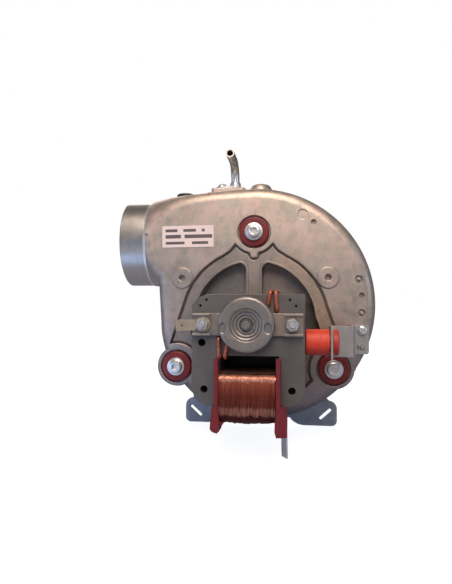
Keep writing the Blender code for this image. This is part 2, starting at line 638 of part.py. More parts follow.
def stud_hardware():
    """Two studs from the carrier through the motor, with spacers, washer, earth tab and nuts."""
    for side, x in (("left", -STUD_X), ("right", STUD_X)):
        stud = [(0.0, 113.8), (STUD_R - 0.4, 113.8), (STUD_R, 113.4), (STUD_R, 49.5), (0.0, 49.5)]
        turned(f"motor_stud_{side}", "zinc", stud, 12, (shift(x),))
        spacer = ring(STUD_R + GAP, 4.0, CARRIER_FRONT + GAP, 74.1)
        turned(f"stud_spacer_{side}", "steel", spacer, 14, (shift(x),))
        nut = slab(109.0, 112.2, circle(4.04, 6), circle(STUD_R + GAP, 12))
        place(f"motor_nut_{side}", moved(nut, turn(14), shift(x)), "zinc")
    turned("stud_washer", "zinc", ring(STUD_R + GAP, 4.7, 107.8, 108.7), 20, (shift(STUD_X),))
    tab = arc(4.4, -140, 140, 10, (-STUD_X, 0.0)) + [
        (-30.2, 2.6), (-40.2, 2.5), (-41.0, 1.7), (-41.0, -3.2), (-40.2, -4.0), (-30.2, -3.6)]
    holes = [circle(STUD_R + GAP, 12, (-STUD_X, 0.0)), circle(0.8, 8, (-37.2, -0.7))]
    place("earth_tab", slab(107.8, 108.7, tab, *holes), "brass")


def rotating_parts():
    """Shaft, squirrel-cage rotor, cooling fan and impeller: everything that spins."""
    shaft = [(0.0, 117.0), (SHAFT_R - 0.5, 117.0), (SHAFT_R, 116.5), (SHAFT_R, 16.5),
             (SHAFT_R - 0.5, 16.0), (0.0, 16.0)]
    turned("shaft", "steel", shaft, 20)
    turned("rotor_cage", "lamination", ring(SHAFT_R + GAP, ROTOR_R, 77.5, 104.5), 24)
    cooling_fan()
    impeller()


def cooling_fan():
    """Small moulded fan between the carrier and the motor, which keeps the rear bearing cool."""
    fan = turned("cooling_fan", "nylon", ring(SHAFT_R + GAP, 6.0, 60.6, 65.6), 16)
    join(fan, slab(60.7, 61.8, circle(18.0, 24), circle(4.5, 16)))
    for index in range(FAN_BLADES):
        join(fan, moved(block(5.0, 17.6, -0.6, 0.6, 61.2, 65.2), turn(360 / FAN_BLADES * index + 10)))


def blade_outline():
    """One impeller blade, curved back along an arc."""
    spine = [(IMPELLER_R - 1.2 - 21.0 * t, -9.0 * (1 - t) ** 2) for t in (0, 0.33, 0.67, 1)]
    return [(x, y - 0.6) for x, y in spine] + [(x, y + 0.6) for x, y in reversed(spine)]


def impeller():
    """Closed radial wheel: a disc, curved blades and an inlet ring, with its hub and nut."""
    wheel = place("impeller", slab(*IMPELLER_DISC, circle(IMPELLER_R, 40), circle(8.4, 16)), "zinc")
    join(wheel, slab(*IMPELLER_RING, circle(IMPELLER_R, 40), circle(IMPELLER_EYE_R, 32)))
    for index in range(BLADES):
        blade = slab(IMPELLER_RING[1] - 0.7, IMPELLER_DISC[0] + 0.6, blade_outline())
        join(wheel, moved(blade, turn(360.0 * index / BLADES)))
    hub = [(SHAFT_R + GAP, 43.2), (7.3, 43.2), (8.0, 42.5), (8.0, 36.5), (15.0, 36.5), (15.0, 34.2),
           (8.0, 33.4), (7.0, 24.0), (SHAFT_R + GAP, 24.0)]
    turned("impeller_hub", "steel", hub, 20)
    nut = slab(19.4, 23.7, circle(4.6, 6), circle(SHAFT_R + GAP, 14))
    place("impeller_nut", nut, "zinc")


# --------------------------------------------------------------------------- fittings on the casing


def buffer_and_bracket():
    """Z-shaped bracket on the casing's face, and the rubber buffer that it holds to the core."""
    x0, x1, t = BRACKET_TIP_X - BRACKET_T / 2, BRACKET_FOLD_X, BRACKET_T
    foot, top, tip = CASE_FRONT + GAP, 82.0, 101.0
    profile = [(74.2, foot), (74.2, foot + t), (x1 + t / 2, foot + t), (x1 + t / 2, top + t),
               (x0 + t, top + t), (x0 + t, tip), (x0, tip), (x0, top), (x1 - t / 2, top), (x1 - t / 2, foot)]
    mesh = moved(slab(-9.2, 9.2, [(x, -z) for x, z in profile]), UPRIGHT, shift(y=BUFFER_Y))
    bracket = place("buffer_bracket", mesh, "zinc")
    along_x = (SIDEWAYS, shift(y=BUFFER_Y, z=BUFFER_Z))
    cut(bracket, moved(drum(6.2, 40.0, 55.0, sides=20), *along_x), drum(1.8, 60.0, 64.0, (68.6, -4.4), 10),
        drum(1.6, 60.0, 64.0, (68.6, -15.6), 10))
    buffer = [(0.0, 51.8), (7.0, 51.8), (BUFFER_R, 51.2), (BUFFER_R, 48.4), (5.9, 48.4), (5.9, 46.4),
              (BUFFER_R, 46.4), (BUFFER_R, 33.2), (7.1, 32.7), (0.0, 32.7)]
    turned("buffer", "orange_silicone", buffer, 24, along_x)
    turned("bracket_screw", "zinc", screw_profile(3.2, 62.8, 65.2, 1.4, 52.5), 14, (shift(68.6, -4.4),))


def pressure_tap():
    """Bent steel tube on a flanged foot, which takes the fan's pressure to an air switch."""
    foot = (-15.6, 33.0)
    bend = [(foot[0], 94.0 + 2.2 * i, foot[1]) for i in range(4)]
    for degrees in range(15, 84, 17):
        a = math.radians(degrees)
        bend.append((foot[0] - 0.3 * a, 101.0 + 10.5 * math.sin(a), foot[1] + 10.5 * (1 - math.cos(a))))
    x, y, z = bend[-1]
    bend += [(x - 0.1, y + 0.8, z + 7.0), (x - 0.2, y + 1.6, z + 14.0)]
    tube = place("pressure_tube", wire(bend, 3.0, resolution=3), "steel")
    collar = moved(drum(3.9, 94.4, 98.0, sides=16, tip=3.5), UPRIGHT, shift(foot[0], 0.0, foot[1]))
    pad = slot_outline((-20.4, -32.0), 0.0, 19.0, 9.6)
    plate = moved(slab(93.8, 95.2, pad), UPRIGHT)
    join(tube, collar, plate)
    cut(tube, moved(drum(1.8, 90.0, 100.0, sides=12), UPRIGHT, shift(-25.2, 0.0, 31.0)))
    first, last = bend[0], bend[-1]
    core = [(first[0], first[1] - 3.0, first[2]), *bend, (last[0] - 0.1, last[1] + 0.2, last[2] + 2.0)]
    cut(tube, wire(core, 2.1, resolution=3))
    screw = screw_profile(3.4, 95.5, 97.9, 1.4, 87.0)
    turned("tap_screw", "zinc", screw, 14, (UPRIGHT, shift(-25.2, 0.0, 31.0)))


def plug_and_label():
    """Rubber plug in the spare tapping on the duct, and the blank rating label."""
    plug = [(0.0, 91.2), (5.4, 91.2), (6.4, 90.0), (6.4, 87.6), (4.2, 87.6), (4.2, 80.5), (0.0, 80.5)]
    turned("blanking_plug", "black_rubber", plug, 20, (UPRIGHT, shift(-51.9, 0.0, 31.0)))
    sticker = slab(CASE_FRONT + GAP, CASE_FRONT + GAP + 0.2, rounded_box(-17.4, 17.4, -7.2, 7.2, 0.5, 1))
    place("label", moved(sticker, turn(0.5), shift(-44.0, 56.5)), "paper")


def build():
    volute_housing()
    rear_plate()
    plate_screws()
    motor_carrier()
    bushes()
    stator_core()
    shading_rings()
    winding()
    bearings_and_covers()
    stud_hardware()
    rotating_parts()
    buffer_and_bracket()
    pressure_tap()
    plug_and_label()


build()
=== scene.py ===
"""Looks of a combustion fan, built round its CAD model.

Shapes are drawn in millimetres: x to the right, y up, and z forward along the shaft from the rear face of
the mounting plate. outfit() turns each finished mesh into the CAD model's frame, in metres.
"""

import math
import random

import bmesh
import bpy
from mathutils import Matrix, Vector


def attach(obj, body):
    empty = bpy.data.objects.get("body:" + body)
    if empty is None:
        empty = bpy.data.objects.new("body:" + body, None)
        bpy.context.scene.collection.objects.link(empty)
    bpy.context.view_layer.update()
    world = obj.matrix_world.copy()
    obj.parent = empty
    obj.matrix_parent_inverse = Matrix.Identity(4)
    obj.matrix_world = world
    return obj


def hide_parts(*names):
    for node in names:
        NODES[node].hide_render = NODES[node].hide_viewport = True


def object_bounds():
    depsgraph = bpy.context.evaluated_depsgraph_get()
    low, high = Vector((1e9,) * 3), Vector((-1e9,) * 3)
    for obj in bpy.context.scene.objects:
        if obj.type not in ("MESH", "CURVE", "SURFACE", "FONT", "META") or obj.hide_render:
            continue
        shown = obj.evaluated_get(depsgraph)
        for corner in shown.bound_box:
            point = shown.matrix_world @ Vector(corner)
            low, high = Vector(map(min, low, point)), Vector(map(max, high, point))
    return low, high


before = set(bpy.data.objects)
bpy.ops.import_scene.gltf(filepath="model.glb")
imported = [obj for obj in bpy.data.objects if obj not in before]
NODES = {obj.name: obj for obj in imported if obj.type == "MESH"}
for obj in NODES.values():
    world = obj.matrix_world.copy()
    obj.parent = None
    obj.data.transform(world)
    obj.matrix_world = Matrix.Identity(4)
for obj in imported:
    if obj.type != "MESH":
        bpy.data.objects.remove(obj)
CAD_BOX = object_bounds()
MM = 0.001
TO_FRAME = Matrix.Scale(MM, 4) @ Matrix.Rotation(math.radians(90), 4, "X")

# Sizes and places in millimetres, angles in degrees.
GAP = 0.3
CASE_REAR, CASE_FRONT, WALL = 1.8, 61.0, 3.0
SCROLL_R0, SCROLL_GROWTH = 63.5, 25.2
SCROLL_START, SCROLL_END = -100.0, 90.0
TOP_Y = SCROLL_R0 + SCROLL_GROWTH
DUCT_X, DUCT_LOW, DUCT_WALL = -24.0, 24.4, 3.2
OUTLET_Y, OUTLET_Z = 54.9, 31.6
SHOULDER = 7.5
SPIGOT_R, SPIGOT_BORE = 30.0, 28.2
SPIGOT_END_X, CAST_X, SPIGOT_STEP = -91.2, -73.4, 0.35
BOSSES, BOSS_FRONT = ((-47.7, 28.9), (47.7, 28.9)), 62.0
BUMP_X, PLUG_X, TOP_FITTINGS_Z = 2.4, -51.9, 31.0
TAP_X, TAP_Z, TAP_SCREW_X = -15.6, 33.0, -25.2
BRACKET_SCREW, BRACKET_PIN = (68.6, -4.4), (68.6, -15.6)
LABEL_AT, LABEL_TILT = (-44.0, 56.5), 0.5
PLATE_THICK, BELL_R, INLET_R = 1.5, 37.0, 30.0
BUSH_CIRCLE = 59.0
BUSHES = {"top": 90.0, "left": 210.0, "right": 330.0}
LUG_R = 13.2
COUNTERBORE_R, COUNTERBORE_FLOOR = 10.75, 58.0
ARCH_R, ARCH_GAP = 48.3, 0.6
CARRIER_REAR, CARRIER_FRONT, CARRIER_FLOOR = 44.5, 59.5, 47.0
SPOKE_HALF, WINDOW_R = 5.25, 39.8
STACK_REAR, STACK_FRONT = 77.0, 105.0
STACK_HALF, STACK_TOP, STACK_BOTTOM = 32.3, 17.2, -46.8
CORE_WINDOW_HALF, CORE_WINDOW_TOP = 17.6, -18.0
SMALL_CORE_HOLES = ((-23.8, 14.0), (-27.3, 10.6), (23.8, 14.0), (27.3, 10.6))
STUD_X, STUD_R = 25.3, 2.0
TERMINAL_Z = 111.8
REAR_LUG_R = 5.0
LUG_ANGLES = (50.0, -27.0, -95.0, -178.0)
BUFFER_Y, BUFFER_Z = -10.5, 91.0


# ---- mesh helpers


def mesh_from(bm):
    bmesh.ops.recalc_face_normals(bm, faces=bm.faces)
    mesh = bpy.data.meshes.new("mesh")
    bm.to_mesh(mesh)
    bm.free()
    return mesh


def moved(mesh, *matrices):
    for matrix in matrices:
        mesh.transform(matrix)
    return mesh


def shift(x=0.0, y=0.0, z=0.0):
    return Matrix.Translation((x, y, z))


def turn(degrees, axis="Z"):
    return Matrix.Rotation(math.radians(degrees), 4, axis)


UPRIGHT, SIDEWAYS = turn(-90, "X"), turn(90, "Y")


def on_top(mesh, x, z=TOP_FITTINGS_Z):
    """Stands a part turned about z up on the casing's top."""
    return moved(mesh, UPRIGHT, shift(x, 0.0, z))


def polar(radius, degrees, centre=(0.0, 0.0)):
    angle = math.radians(degrees)
    return (centre[0] + radius * math.cos(angle), centre[1] + radius * math.sin(angle))


def arc(radius, start, end, steps, centre=(0.0, 0.0)):
    return [polar(radius, start + (end - start) * i / steps, centre) for i in range(steps + 1)]


def circle(radius, sides, centre=(0.0, 0.0)):
    return arc(radius, 0.0, 360.0 * (sides - 1) / sides, sides - 1, centre)


def rounded_box(x0, x1, y0, y1, radius, steps=6):
    corners = ((x1 - radius, y1 - radius, 0), (x0 + radius, y1 - radius, 90),
               (x0 + radius, y0 + radius, 180), (x1 - radius, y0 + radius, 270))
    return [p for cx, cy, a in corners for p in arc(radius, a, a + 90, steps, (cx, cy))]


def grown(outline, by):
    """The outline moved outward, with mitred corners."""
    count = len(outline)
    area = sum(outline[i - 1][0] * outline[i][1] - outline[i][0] * outline[i - 1][1] for i in range(count))
    side = 1.0 if area > 0 else -1.0
    result = []
    for i in range(count):
        here = Vector(outline[i])
        before, after = here - Vector(outline[i - 1]), Vector(outline[(i + 1) % count]) - here
        before.normalize()
        after.normalize()
        n1, n2 = (Vector((e.y, -e.x)) * side for e in (before, after))
        mitre = (n1 + n2) / max(0.35, 1.0 + n1.dot(n2))
        result.append(tuple(here + mitre * by))
    return result


def loft(sections):
    """A closed solid through rings of equal count."""
    bm = bmesh.new()
    rings = [[bm.verts.new(p) for p in section] for section in sections]
    for lower, upper in zip(rings, rings[1:]):
        for i in range(len(lower)):
            j = (i + 1) % len(lower)
            bm.faces.new((lower[i], lower[j], upper[j], upper[i]))
    bm.faces.new(rings[0])
    bm.faces.new(rings[-1])
    return mesh_from(bm)


def quarter(steps):
    """The angles of a quarter circle, in radians."""
    return [math.radians(90 * k / steps) for k in range(steps + 1)]


def prism(outline, levels):
    """A closed solid; each level says how far the outline is moved outward, and at which z."""
    return loft([[(x, y, z) for x, y in (grown(outline, out) if out else outline)] for out, z in levels])


def crowned(outline, z0, z1, r=0.5, steps=3, foot=0.0):
    """A prism with its front edge rounded, and its rear edge too where foot is given."""
    angles = quarter(steps)
    levels = [(-foot * (1 - math.sin(a)), z0 + foot * (1 - math.cos(a))) for a in angles] if foot else [(0.0, z0)]
    return prism(outline, levels + [(-r * (1 - math.cos(a)), z1 - r + r * math.sin(a)) for a in angles])


def flared(outline, z0, face, r=0.4, steps=2):
    """A cutter whose mouth opens out, so that it leaves a rounded edge at the face."""
    mouth = [(r * (1 - math.cos(a)), face - r + r * math.sin(a)) for a in quarter(steps)]
    return prism(outline, [(0.0, z0), *mouth, (r, face + 6.0)])


def block(x0, x1, y0, y1, z0, z1, r=0.3):
    return crowned([(x0, y0), (x1, y0), (x1, y1), (x0, y1)], z0, z1, r, 2, r)


def drum(radius, z0, z1, centre=(0.0, 0.0), sides=48, r=0.0, foot=0.0):
    outline = circle(radius, sides, centre)
    return crowned(outline, z0, z1, r, 3, foot) if r else prism(outline, [(0.0, z0), (0.0, z1)])


def slab(z0, z1, *outlines):
    """A flat outline with holes, filled and extruded."""
    curve = bpy.data.curves.new("outline", "CURVE")
    curve.dimensions = "2D"
    curve.fill_mode = "BOTH"
    curve.extrude = (z1 - z0) / 2
    for outline in outlines:
        spline = curve.splines.new("POLY")
        spline.points.add(len(outline) - 1)
        for point, (x, y) in zip(spline.points, outline):
            point.co = (x, y, 0, 1)
        spline.use_cyclic_u = True
    return moved(converted(curve), shift(z=(z0 + z1) / 2))


def converted(curve):
    obj = bpy.data.objects.new("curve", curve)
    mesh = evaluated(obj)
    bm = bmesh.new()
    bm.from_mesh(mesh)
    bmesh.ops.remove_doubles(bm, verts=bm.verts, dist=0.001)
    return mesh_from(bm)


def evaluated(obj):
    """The object's mesh with its modifiers applied; the object goes."""
    bpy.context.scene.collection.objects.link(obj)
    bpy.context.view_layer.update()
    mesh = bpy.data.meshes.new_from_object(obj.evaluated_get(bpy.context.evaluated_depsgraph_get()))
    bpy.data.objects.remove(obj, do_unlink=True)
    return mesh


def turned(profile, sides=64):
    """A part turned about z, from (radius, z) points; a profile that starts off the axis is a ring."""
    closed = profile[0][0] > 0
    bm = bmesh.new()
    rings = []
    for radius, z in profile:
        if radius < 1e-6:
            rings.append([bm.verts.new((0, 0, z))])
        else:
            rings.append([bm.verts.new((*polar(radius, 360 * k / sides), z)) for k in range(sides)])
    pairs = list(zip(rings, rings[1:])) + ([(rings[-1], rings[0])] if closed else [])
    for a, b in pairs:
        for k in range(sides):
            j = (k + 1) % sides
            corners = [a[k % len(a)], a[j % len(a)], b[j % len(b)], b[k % len(b)]]
            corners = list(dict.fromkeys(corners))
            if len(corners) > 2:
                bm.faces.new(corners)
    return mesh_from(bm)


def wire(points, radius, closed=False, resolution=3):
    """A round wire along the points."""
    curve = bpy.data.curves.new("wire", "CURVE")
    curve.dimensions = "3D"
    curve.bevel_depth = radius
    curve.bevel_resolution = resolution
    curve.use_fill_caps = not closed
    spline = curve.splines.new("POLY")
    spline.points.add(len(points) - 1)
    for point, co in zip(spline.points, points):
        point.co = (*co, 1)
    spline.use_cyclic_u = closed
    return converted(curve)


def solve(base, *steps):
    """Applies Boolean steps in order: ("+" or "-", mesh, mesh, ...)."""
    obj = bpy.data.objects.new("base", base)
    tools = []
    for sign, *meshes in steps:
        for mesh in meshes:
            tool = bpy.data.objects.new("tool", mesh)
            tool.hide_render = True
            bpy.context.scene.collection.objects.link(tool)
            tools.append(tool)
            step = obj.modifiers.new("step", "BOOLEAN")
            step.operation = "UNION" if sign == "+" else "DIFFERENCE"
            step.solver = "EXACT"
            step.object = tool
    mesh = evaluated(obj)
    for tool in tools:
        bpy.data.objects.remove(tool, do_unlink=True)
    return mesh


def cross_headed(profile, reach, half_width, z0, z1, sides=40):
    """A turned screw with a cross recess."""
    cross = [block(-a, a, -b, b, z0, z1, 0.05) for a, b in ((reach, half_width), (half_width, reach))]
    return solve(turned(profile, sides), ("-", *cross))


def together(*meshes):
    """Several meshes as one, unjoined."""
    bm = bmesh.new()
    for mesh in meshes:
        bm.from_mesh(mesh)
    return mesh_from(bm)


def outfit(name, mesh, slot, *nodes, sharp=32, looks=(), pick=None):
    """Finishes a piece: place, materials, smooth shading, body, and the CAD nodes it stands for."""
    mesh.transform(TO_FRAME)
    mesh.materials.clear()
    for look in looks or (slot,):
        mesh.materials.append(MATERIALS[look])
    if pick:
        for face in mesh.polygons:
            face.material_index = pick(face)
    mesh.shade_smooth()
    mesh.set_sharp_from_angle(angle=math.radians(sharp))
    obj = bpy.data.objects.new(name, mesh)
    bpy.context.scene.collection.objects.link(obj)
    weighted = obj.modifiers.new("Weighted", "WEIGHTED_NORMAL")
    weighted.keep_sharp = True
    weighted.weight = 80
    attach(obj, "stator")
    if nodes:
        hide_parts(*nodes)
    return obj


# ---- materials


MIX_FACTOR, MIX_A, MIX_B, MIX_RESULT = 0, 6, 7, 2


class Look:
    """A node material round one Principled shader."""

    def __init__(self, name, colour, metallic=0.0, roughness=0.5):
        self.material = bpy.data.materials.new(name)
        self.material.use_nodes = True
        self.tree = self.material.node_tree
        self.shader = self.tree.nodes["Principled BSDF"]
        self.set(self.shader, Metallic=metallic, Roughness=roughness, **{"Base Color": (*colour, 1.0)})
        self.height = None
        self.colour = None

    def node(self, kind, **inputs):
        node = self.tree.nodes.new(kind)
        self.set(node, **inputs)
        return node

    def set(self, node, **inputs):
        for key, value in inputs.items():
            socket = node.inputs[key.replace("_", " ")]
            if isinstance(value, bpy.types.NodeSocket):
                self.tree.links.new(value, socket)
            else:
                socket.default_value = value

    def place(self, scale=(1.0, 1.0, 1.0)):
        """Object coordinates in millimetres, stretched by scale."""
        where = self.node("ShaderNodeTexCoord").outputs["Object"]
        mapping = self.node("ShaderNodeMapping", Vector=where, Scale=tuple(s / MM for s in scale))
        return mapping.outputs["Vector"]

    def axis(self, name):
        """One object coordinate, in millimetres."""
        return self.node("ShaderNodeSeparateXYZ", Vector=self.place()).outputs[name]

    def noise(self, size, detail=3.0, scale=(1.0, 1.0, 1.0)):
        """Noise between 0 and 1, whose blobs are about size millimetres wide."""
        node = self.node("ShaderNodeTexNoise", Vector=self.place(scale), Scale=1.0 / size, Detail=detail,
                         Roughness=0.55)
        return node.outputs["Fac"]

    def ramp(self, value, low, high, a=0.0, b=1.0):
        """From a to b, where value runs from low to high."""
        node = self.node("ShaderNodeMapRange", Value=value, From_Min=low, From_Max=high, To_Min=a, To_Max=b)
        return node.outputs["Result"]

    def combine(self, operation, a, b):
        node = self.node("ShaderNodeMath")
        node.operation = operation
        for value, socket in zip((a, b), node.inputs):
            self.tree.links.new(value, socket)
        return node.outputs[0]

    def tint(self, value, colour, low=0.0, high=1.0, amount=1.0, blend="MIX"):
        """Mixes a colour into the base, or multiplies it in, where value runs from low to high."""
        mix = self.node("ShaderNodeMix")
        mix.data_type = "RGBA"
        mix.blend_type = blend
        self.tree.links.new(self.ramp(value, low, high, 0.0, amount), mix.inputs[MIX_FACTOR])
        if self.colour:
            self.tree.links.new(self.colour, mix.inputs[MIX_A])
        else:
            mix.inputs[MIX_A].default_value = self.shader.inputs["Base Color"].default_value[:]
        mix.inputs[MIX_B].default_value = (*colour, 1.0)
        self.colour = mix.outputs[MIX_RESULT]
        self.tree.links.new(self.colour, self.shader.inputs["Base Color"])
        return self

    def rough(self, value, a, b, low=0.3, high=0.7):
        self.tree.links.new(self.ramp(value, low, high, a, b), self.shader.inputs["Roughness"])
        return self

    def bump(self, value, depth, strength=1.0):
        node = self.node("ShaderNodeBump", Height=value, Strength=strength, Distance=MM * depth)
        if self.height:
            self.tree.links.new(self.height, node.inputs["Normal"])
        self.height = node.outputs["Normal"]
        self.tree.links.new(self.height, self.shader.inputs["Normal"])
        return self


def finish(name, colour, metallic, roughness, tints, rough, bump):
    """A look of noises: tints of size, colour, low, high and amount, then what rough() and bump() need."""
    look = Look(name, colour, metallic, roughness)
    for size, tone, low, high, amount in tints:
        look.tint(look.noise(size), tone, low, high, amount)
    look.rough(look.noise(rough[0]), *rough[1:])
    look.bump(look.noise(bump[0]), *bump[1:])
    return look


def make_casts(looks):
    """Die-cast aluminium: warm and cool clouds and fine specks, with painted light making it lighter high up and
    painted shade making it darker low down, bluish at the bottom.
    """
    for name, colour, warm, cool, speck in (
            ("die_cast", (0.48, 0.44, 0.40), (0.60, 0.455, 0.41), (0.35, 0.345, 0.30), (0.30, 0.27, 0.25)),
            # A darker copy for the carrier and bridges: partly a darker casting, partly painted shade.
            ("dark_cast_and_painted_shade", (0.33, 0.30, 0.28), (0.41, 0.335, 0.29), (0.27, 0.262, 0.245), (0.22, 0.20, 0.185)),
            # A darker copy for the floor behind the windows: painted shade.
            ("painted_shade_cast", (0.30, 0.275, 0.27), (0.35, 0.30, 0.285), (0.25, 0.245, 0.235), (0.19, 0.175, 0.165))):
        cast = looks[name] = Look(name, colour, metallic=0.8, roughness=0.46)
        cast.tint(cast.noise(24.0), warm, 0.35, 0.7, 0.85)
        cast.tint(cast.noise(13.0, 4.0), cool, 0.42, 0.68, 0.8)
        cast.tint(cast.noise(7.5, 3.0, (1.0, 1.0, 1.3)), warm, 0.45, 0.70, 0.65)
        cast.tint(cast.noise(4.5, 3.0, (1.4, 1.0, 1.0)), speck, 0.5, 0.76, 0.5)
        cast.tint(cast.noise(1.2), speck, 0.56, 0.8, 0.55)
        # Painted light and shade by height: lighter high up, darker low down, and a bluish painted reflection of
        # light from below at the bottom.
        shades = [("Z", (1.26, 1.22, 1.15), 30.0, 85.0), ("Z", (0.66, 0.66, 0.70), 10.0, -34.0),
                  ("Z", (0.80, 0.86, 1.08), -28.0, -66.0)]
        # Darker still below the core's top edge: a painted shadow of the core on the floor.
        if name == "painted_shade_cast":
            shades.append(("Z", (0.50, 0.53, 0.50), 14.5, 11.5))
        # Lighter and warmer towards the right: painted light.
        if name == "dark_cast_and_painted_shade":
            shades.append(("X", (1.3, 1.17, 1.04), 8.0, 40.0))
        for axis, tone, low, high in shades:
            cast.tint(cast.axis(axis), tone, low, high, 1.0, "MULTIPLY")
        cast.rough(cast.noise(7.0), 0.37, 0.55)
        cast.bump(cast.noise(0.9), 0.05, 0.5).bump(cast.noise(14.0, 2.0), 0.5, 0.35)


def make_copper(looks):
    copper = looks["copper"] = Look("copper", (0.62, 0.20, 0.125), metallic=0.85, roughness=0.36)
    copper.tint(copper.noise(2.2, 2.0), (0.34, 0.075, 0.05), 0.42, 0.66, 0.85)
    copper.rough(copper.noise(0.8), 0.26, 0.46)

    wound = looks["wound_copper"] = Look("wound_copper", (0.56, 0.14, 0.07), metallic=0.85, roughness=0.36)
    height, ragged = wound.axis("Z"), wound.noise(2.2, 2.0, (1.0, 1.0, 0.15))
    level = wound.combine("ADD", height, wound.ramp(ragged, 0.2, 0.8, -1.0, 1.0))
    # A bright salmon band along the top: painted highlight.
    wound.tint(level, (1.0, 0.52, 0.37), -31.6, -30.4, 0.9)
    wound.tint(wound.noise(0.8, 2.0, (1.0, 1.0, 0.03)), (0.30, 0.06, 0.03), 0.42, 0.68, 0.5)
    # Darker below the top band, more so lower down: painted shade on the coil's front.
    wound.tint(height, (0.20, 0.036, 0.02), -32.0, -39.0, 0.85)
    wound.tint(height, (0.18, 0.04, 0.028), -40.0, -44.5, 0.5)
    # A lighter band where the wires cross: painted sheen.
    wound.tint(level, (0.54, 0.26, 0.19), -44.6, -46.2, 0.8)
    wound.tint(wound.noise(0.9, 3.0, (1.2, 1.0, 1.0)), (0.30, 0.10, 0.07), 0.5, 0.62, 0.5)
    # A dark band where the coil turns under: painted shade.
    wound.tint(level, (0.10, 0.02, 0.022), -48.9, -50.2, 0.92)
    wound.tint(height, (0.26, 0.15, 0.13), -52.6, -54.0, 0.8)
    wound.rough(wound.noise(0.8), 0.28, 0.48)


def make_materials():
    looks = {}
    make_casts(looks)
    make_copper(looks)
    for name, *rest in (
            ("plate_steel", (0.40, 0.435, 0.51), 0.4, 0.42,
             ((9.0, (0.52, 0.56, 0.63), 0.35, 0.7, 0.6), (4.0, (0.34, 0.375, 0.42), 0.45, 0.7, 0.6)),
             (5.0, 0.32, 0.5), (0.8, 0.03, 0.4)),
            ("lamination", (0.138, 0.134, 0.132), 0.5, 0.5,
             ((15.0, (0.205, 0.182, 0.17), 0.35, 0.7, 0.7), (0.7, (0.10, 0.095, 0.09), 0.55, 0.8, 0.5)),
             (4.0, 0.4, 0.6), (0.7, 0.02, 0.4)),
            ("zinc", (0.85, 0.85, 0.85), 0.9, 0.33, ((2.5, (0.66, 0.67, 0.68), 0.45, 0.7, 0.5),),
             (2.0, 0.28, 0.4), (0.5, 0.003, 0.3)),
            ("galvanised", (0.49, 0.485, 0.475), 0.8, 0.4, ((3.0, (0.42, 0.41, 0.405), 0.4, 0.65, 0.6),),
             (2.0, 0.32, 0.5), (0.6, 0.02, 0.4)),
            ("steel", (0.40, 0.375, 0.36), 0.9, 0.33, ((6.0, (0.32, 0.30, 0.285), 0.4, 0.65, 0.6),),
             (3.0, 0.28, 0.42), (0.5, 0.01, 0.4)),
            ("satin_steel", (0.30, 0.285, 0.275), 0.85, 0.42,
             ((7.0, (0.36, 0.31, 0.28), 0.35, 0.65, 0.7), (2.5, (0.24, 0.235, 0.225), 0.45, 0.7, 0.5)),
             (3.0, 0.36, 0.5), (0.6, 0.012, 0.4)),
            ("brass", (0.52, 0.44, 0.32), 0.7, 0.4, ((2.5, (0.42, 0.35, 0.26), 0.4, 0.7, 0.6),),
             (1.5, 0.34, 0.5), (0.5, 0.01, 0.3))):
        looks[name] = finish(name, *rest)
    for name, colour, dark in (("red_silicone", (0.20, 0.014, 0.018), (0.09, 0.008, 0.010)),
                               ("orange_silicone", (0.78, 0.062, 0.026), (0.55, 0.03, 0.02)),
                               ("red_plastic", (0.185, 0.013, 0.021), (0.10, 0.009, 0.014)),
                               # Black rubber for the plug, and painted shade for the black sheets and hole backs.
                               ("black_rubber", (0.022, 0.020, 0.016), (0.012, 0.011, 0.010)),
                               ("nylon", (0.52, 0.49, 0.44), (0.42, 0.40, 0.36))):
        tints = ((4.0, dark, 0.5, 0.8, 0.6),)
        looks[name] = finish(name, colour, 0.0, 0.5, tints, (1.5, 0.36, 0.58), (0.4, 0.02, 0.3))
    # Painted light and shade by height or side. Zinc darker from 98.5 mm up: painted shade on the tapping tube's
    # upper part.
    for name, axis, *shade in (("zinc", "Z", (0.50, 0.475, 0.44), 98.5, 106.0, 0.8),
                               # The buffer darker to the right: painted shadow of the bracket.
                               ("orange_silicone", "X", (0.42, 0.03, 0.028), 47.5, 49.5, 0.75),
                               # The buffer darker at its bottom: painted shade.
                               ("orange_silicone", "Z", (0.40, 0.03, 0.025), -12.0, -18.5, 0.6),
                               # A maroon band low on the black sheets: painted shade of the coil's top.
                               ("black_rubber", "Z", (0.13, 0.035, 0.028), -25.6, -27.6, 0.9)):
        looks[name].tint(looks[name].axis(axis), *shade)

    machined = looks["machined"] = Look("machined", (0.58, 0.55, 0.52), metallic=0.95, roughness=0.3)
    machined.tint(machined.noise(0.7, 2.0, (1.0, 0.03, 0.03)), (0.46, 0.44, 0.42), 0.4, 0.7, 0.4)
    machined.rough(machined.noise(9.0), 0.27, 0.36)
    machined.bump(machined.noise(0.5, 1.0, (1.0, 0.02, 0.02)), 0.008, 0.25)

    paper = looks["paper"] = Look("paper", (0.95, 0.78, 0.72), roughness=0.55)
    paper.tint(paper.noise(6.0), (0.88, 0.73, 0.67), 0.4, 0.7, 0.5)
    paper.bump(paper.noise(0.3), 0.01, 0.2)

    ink = looks["ink"] = Look("ink", (0.10, 0.085, 0.09), roughness=0.5)
    ink.tint(ink.noise(0.5), (0.25, 0.20, 0.20), 0.4, 0.7, 0.7)

    # Near black: painted shade for deep recesses.
    hole = looks["painted_shade_black"] = Look("painted_shade_black", (0.012, 0.011, 0.010), roughness=0.8)
    hole.tint(hole.noise(2.0), (0.02, 0.018, 0.016), 0.4, 0.7, 0.5)
    return {name: look.material for name, look in looks.items()}


MATERIALS = make_materials()


# ---- casing


def scroll_radius(degrees):
    t = min(1.0, max(0.0, (degrees - SCROLL_START) / (SCROLL_END - SCROLL_START)))
    return SCROLL_R0 + SCROLL_GROWTH * (1 - math.cos(math.pi * t)) / 2


def scroll_outline(inset, step=2.5):
    return [polar(scroll_radius(step * i) - inset, step * i)
            for i in range(round(-180 / step), round(90 / step) + 1)]


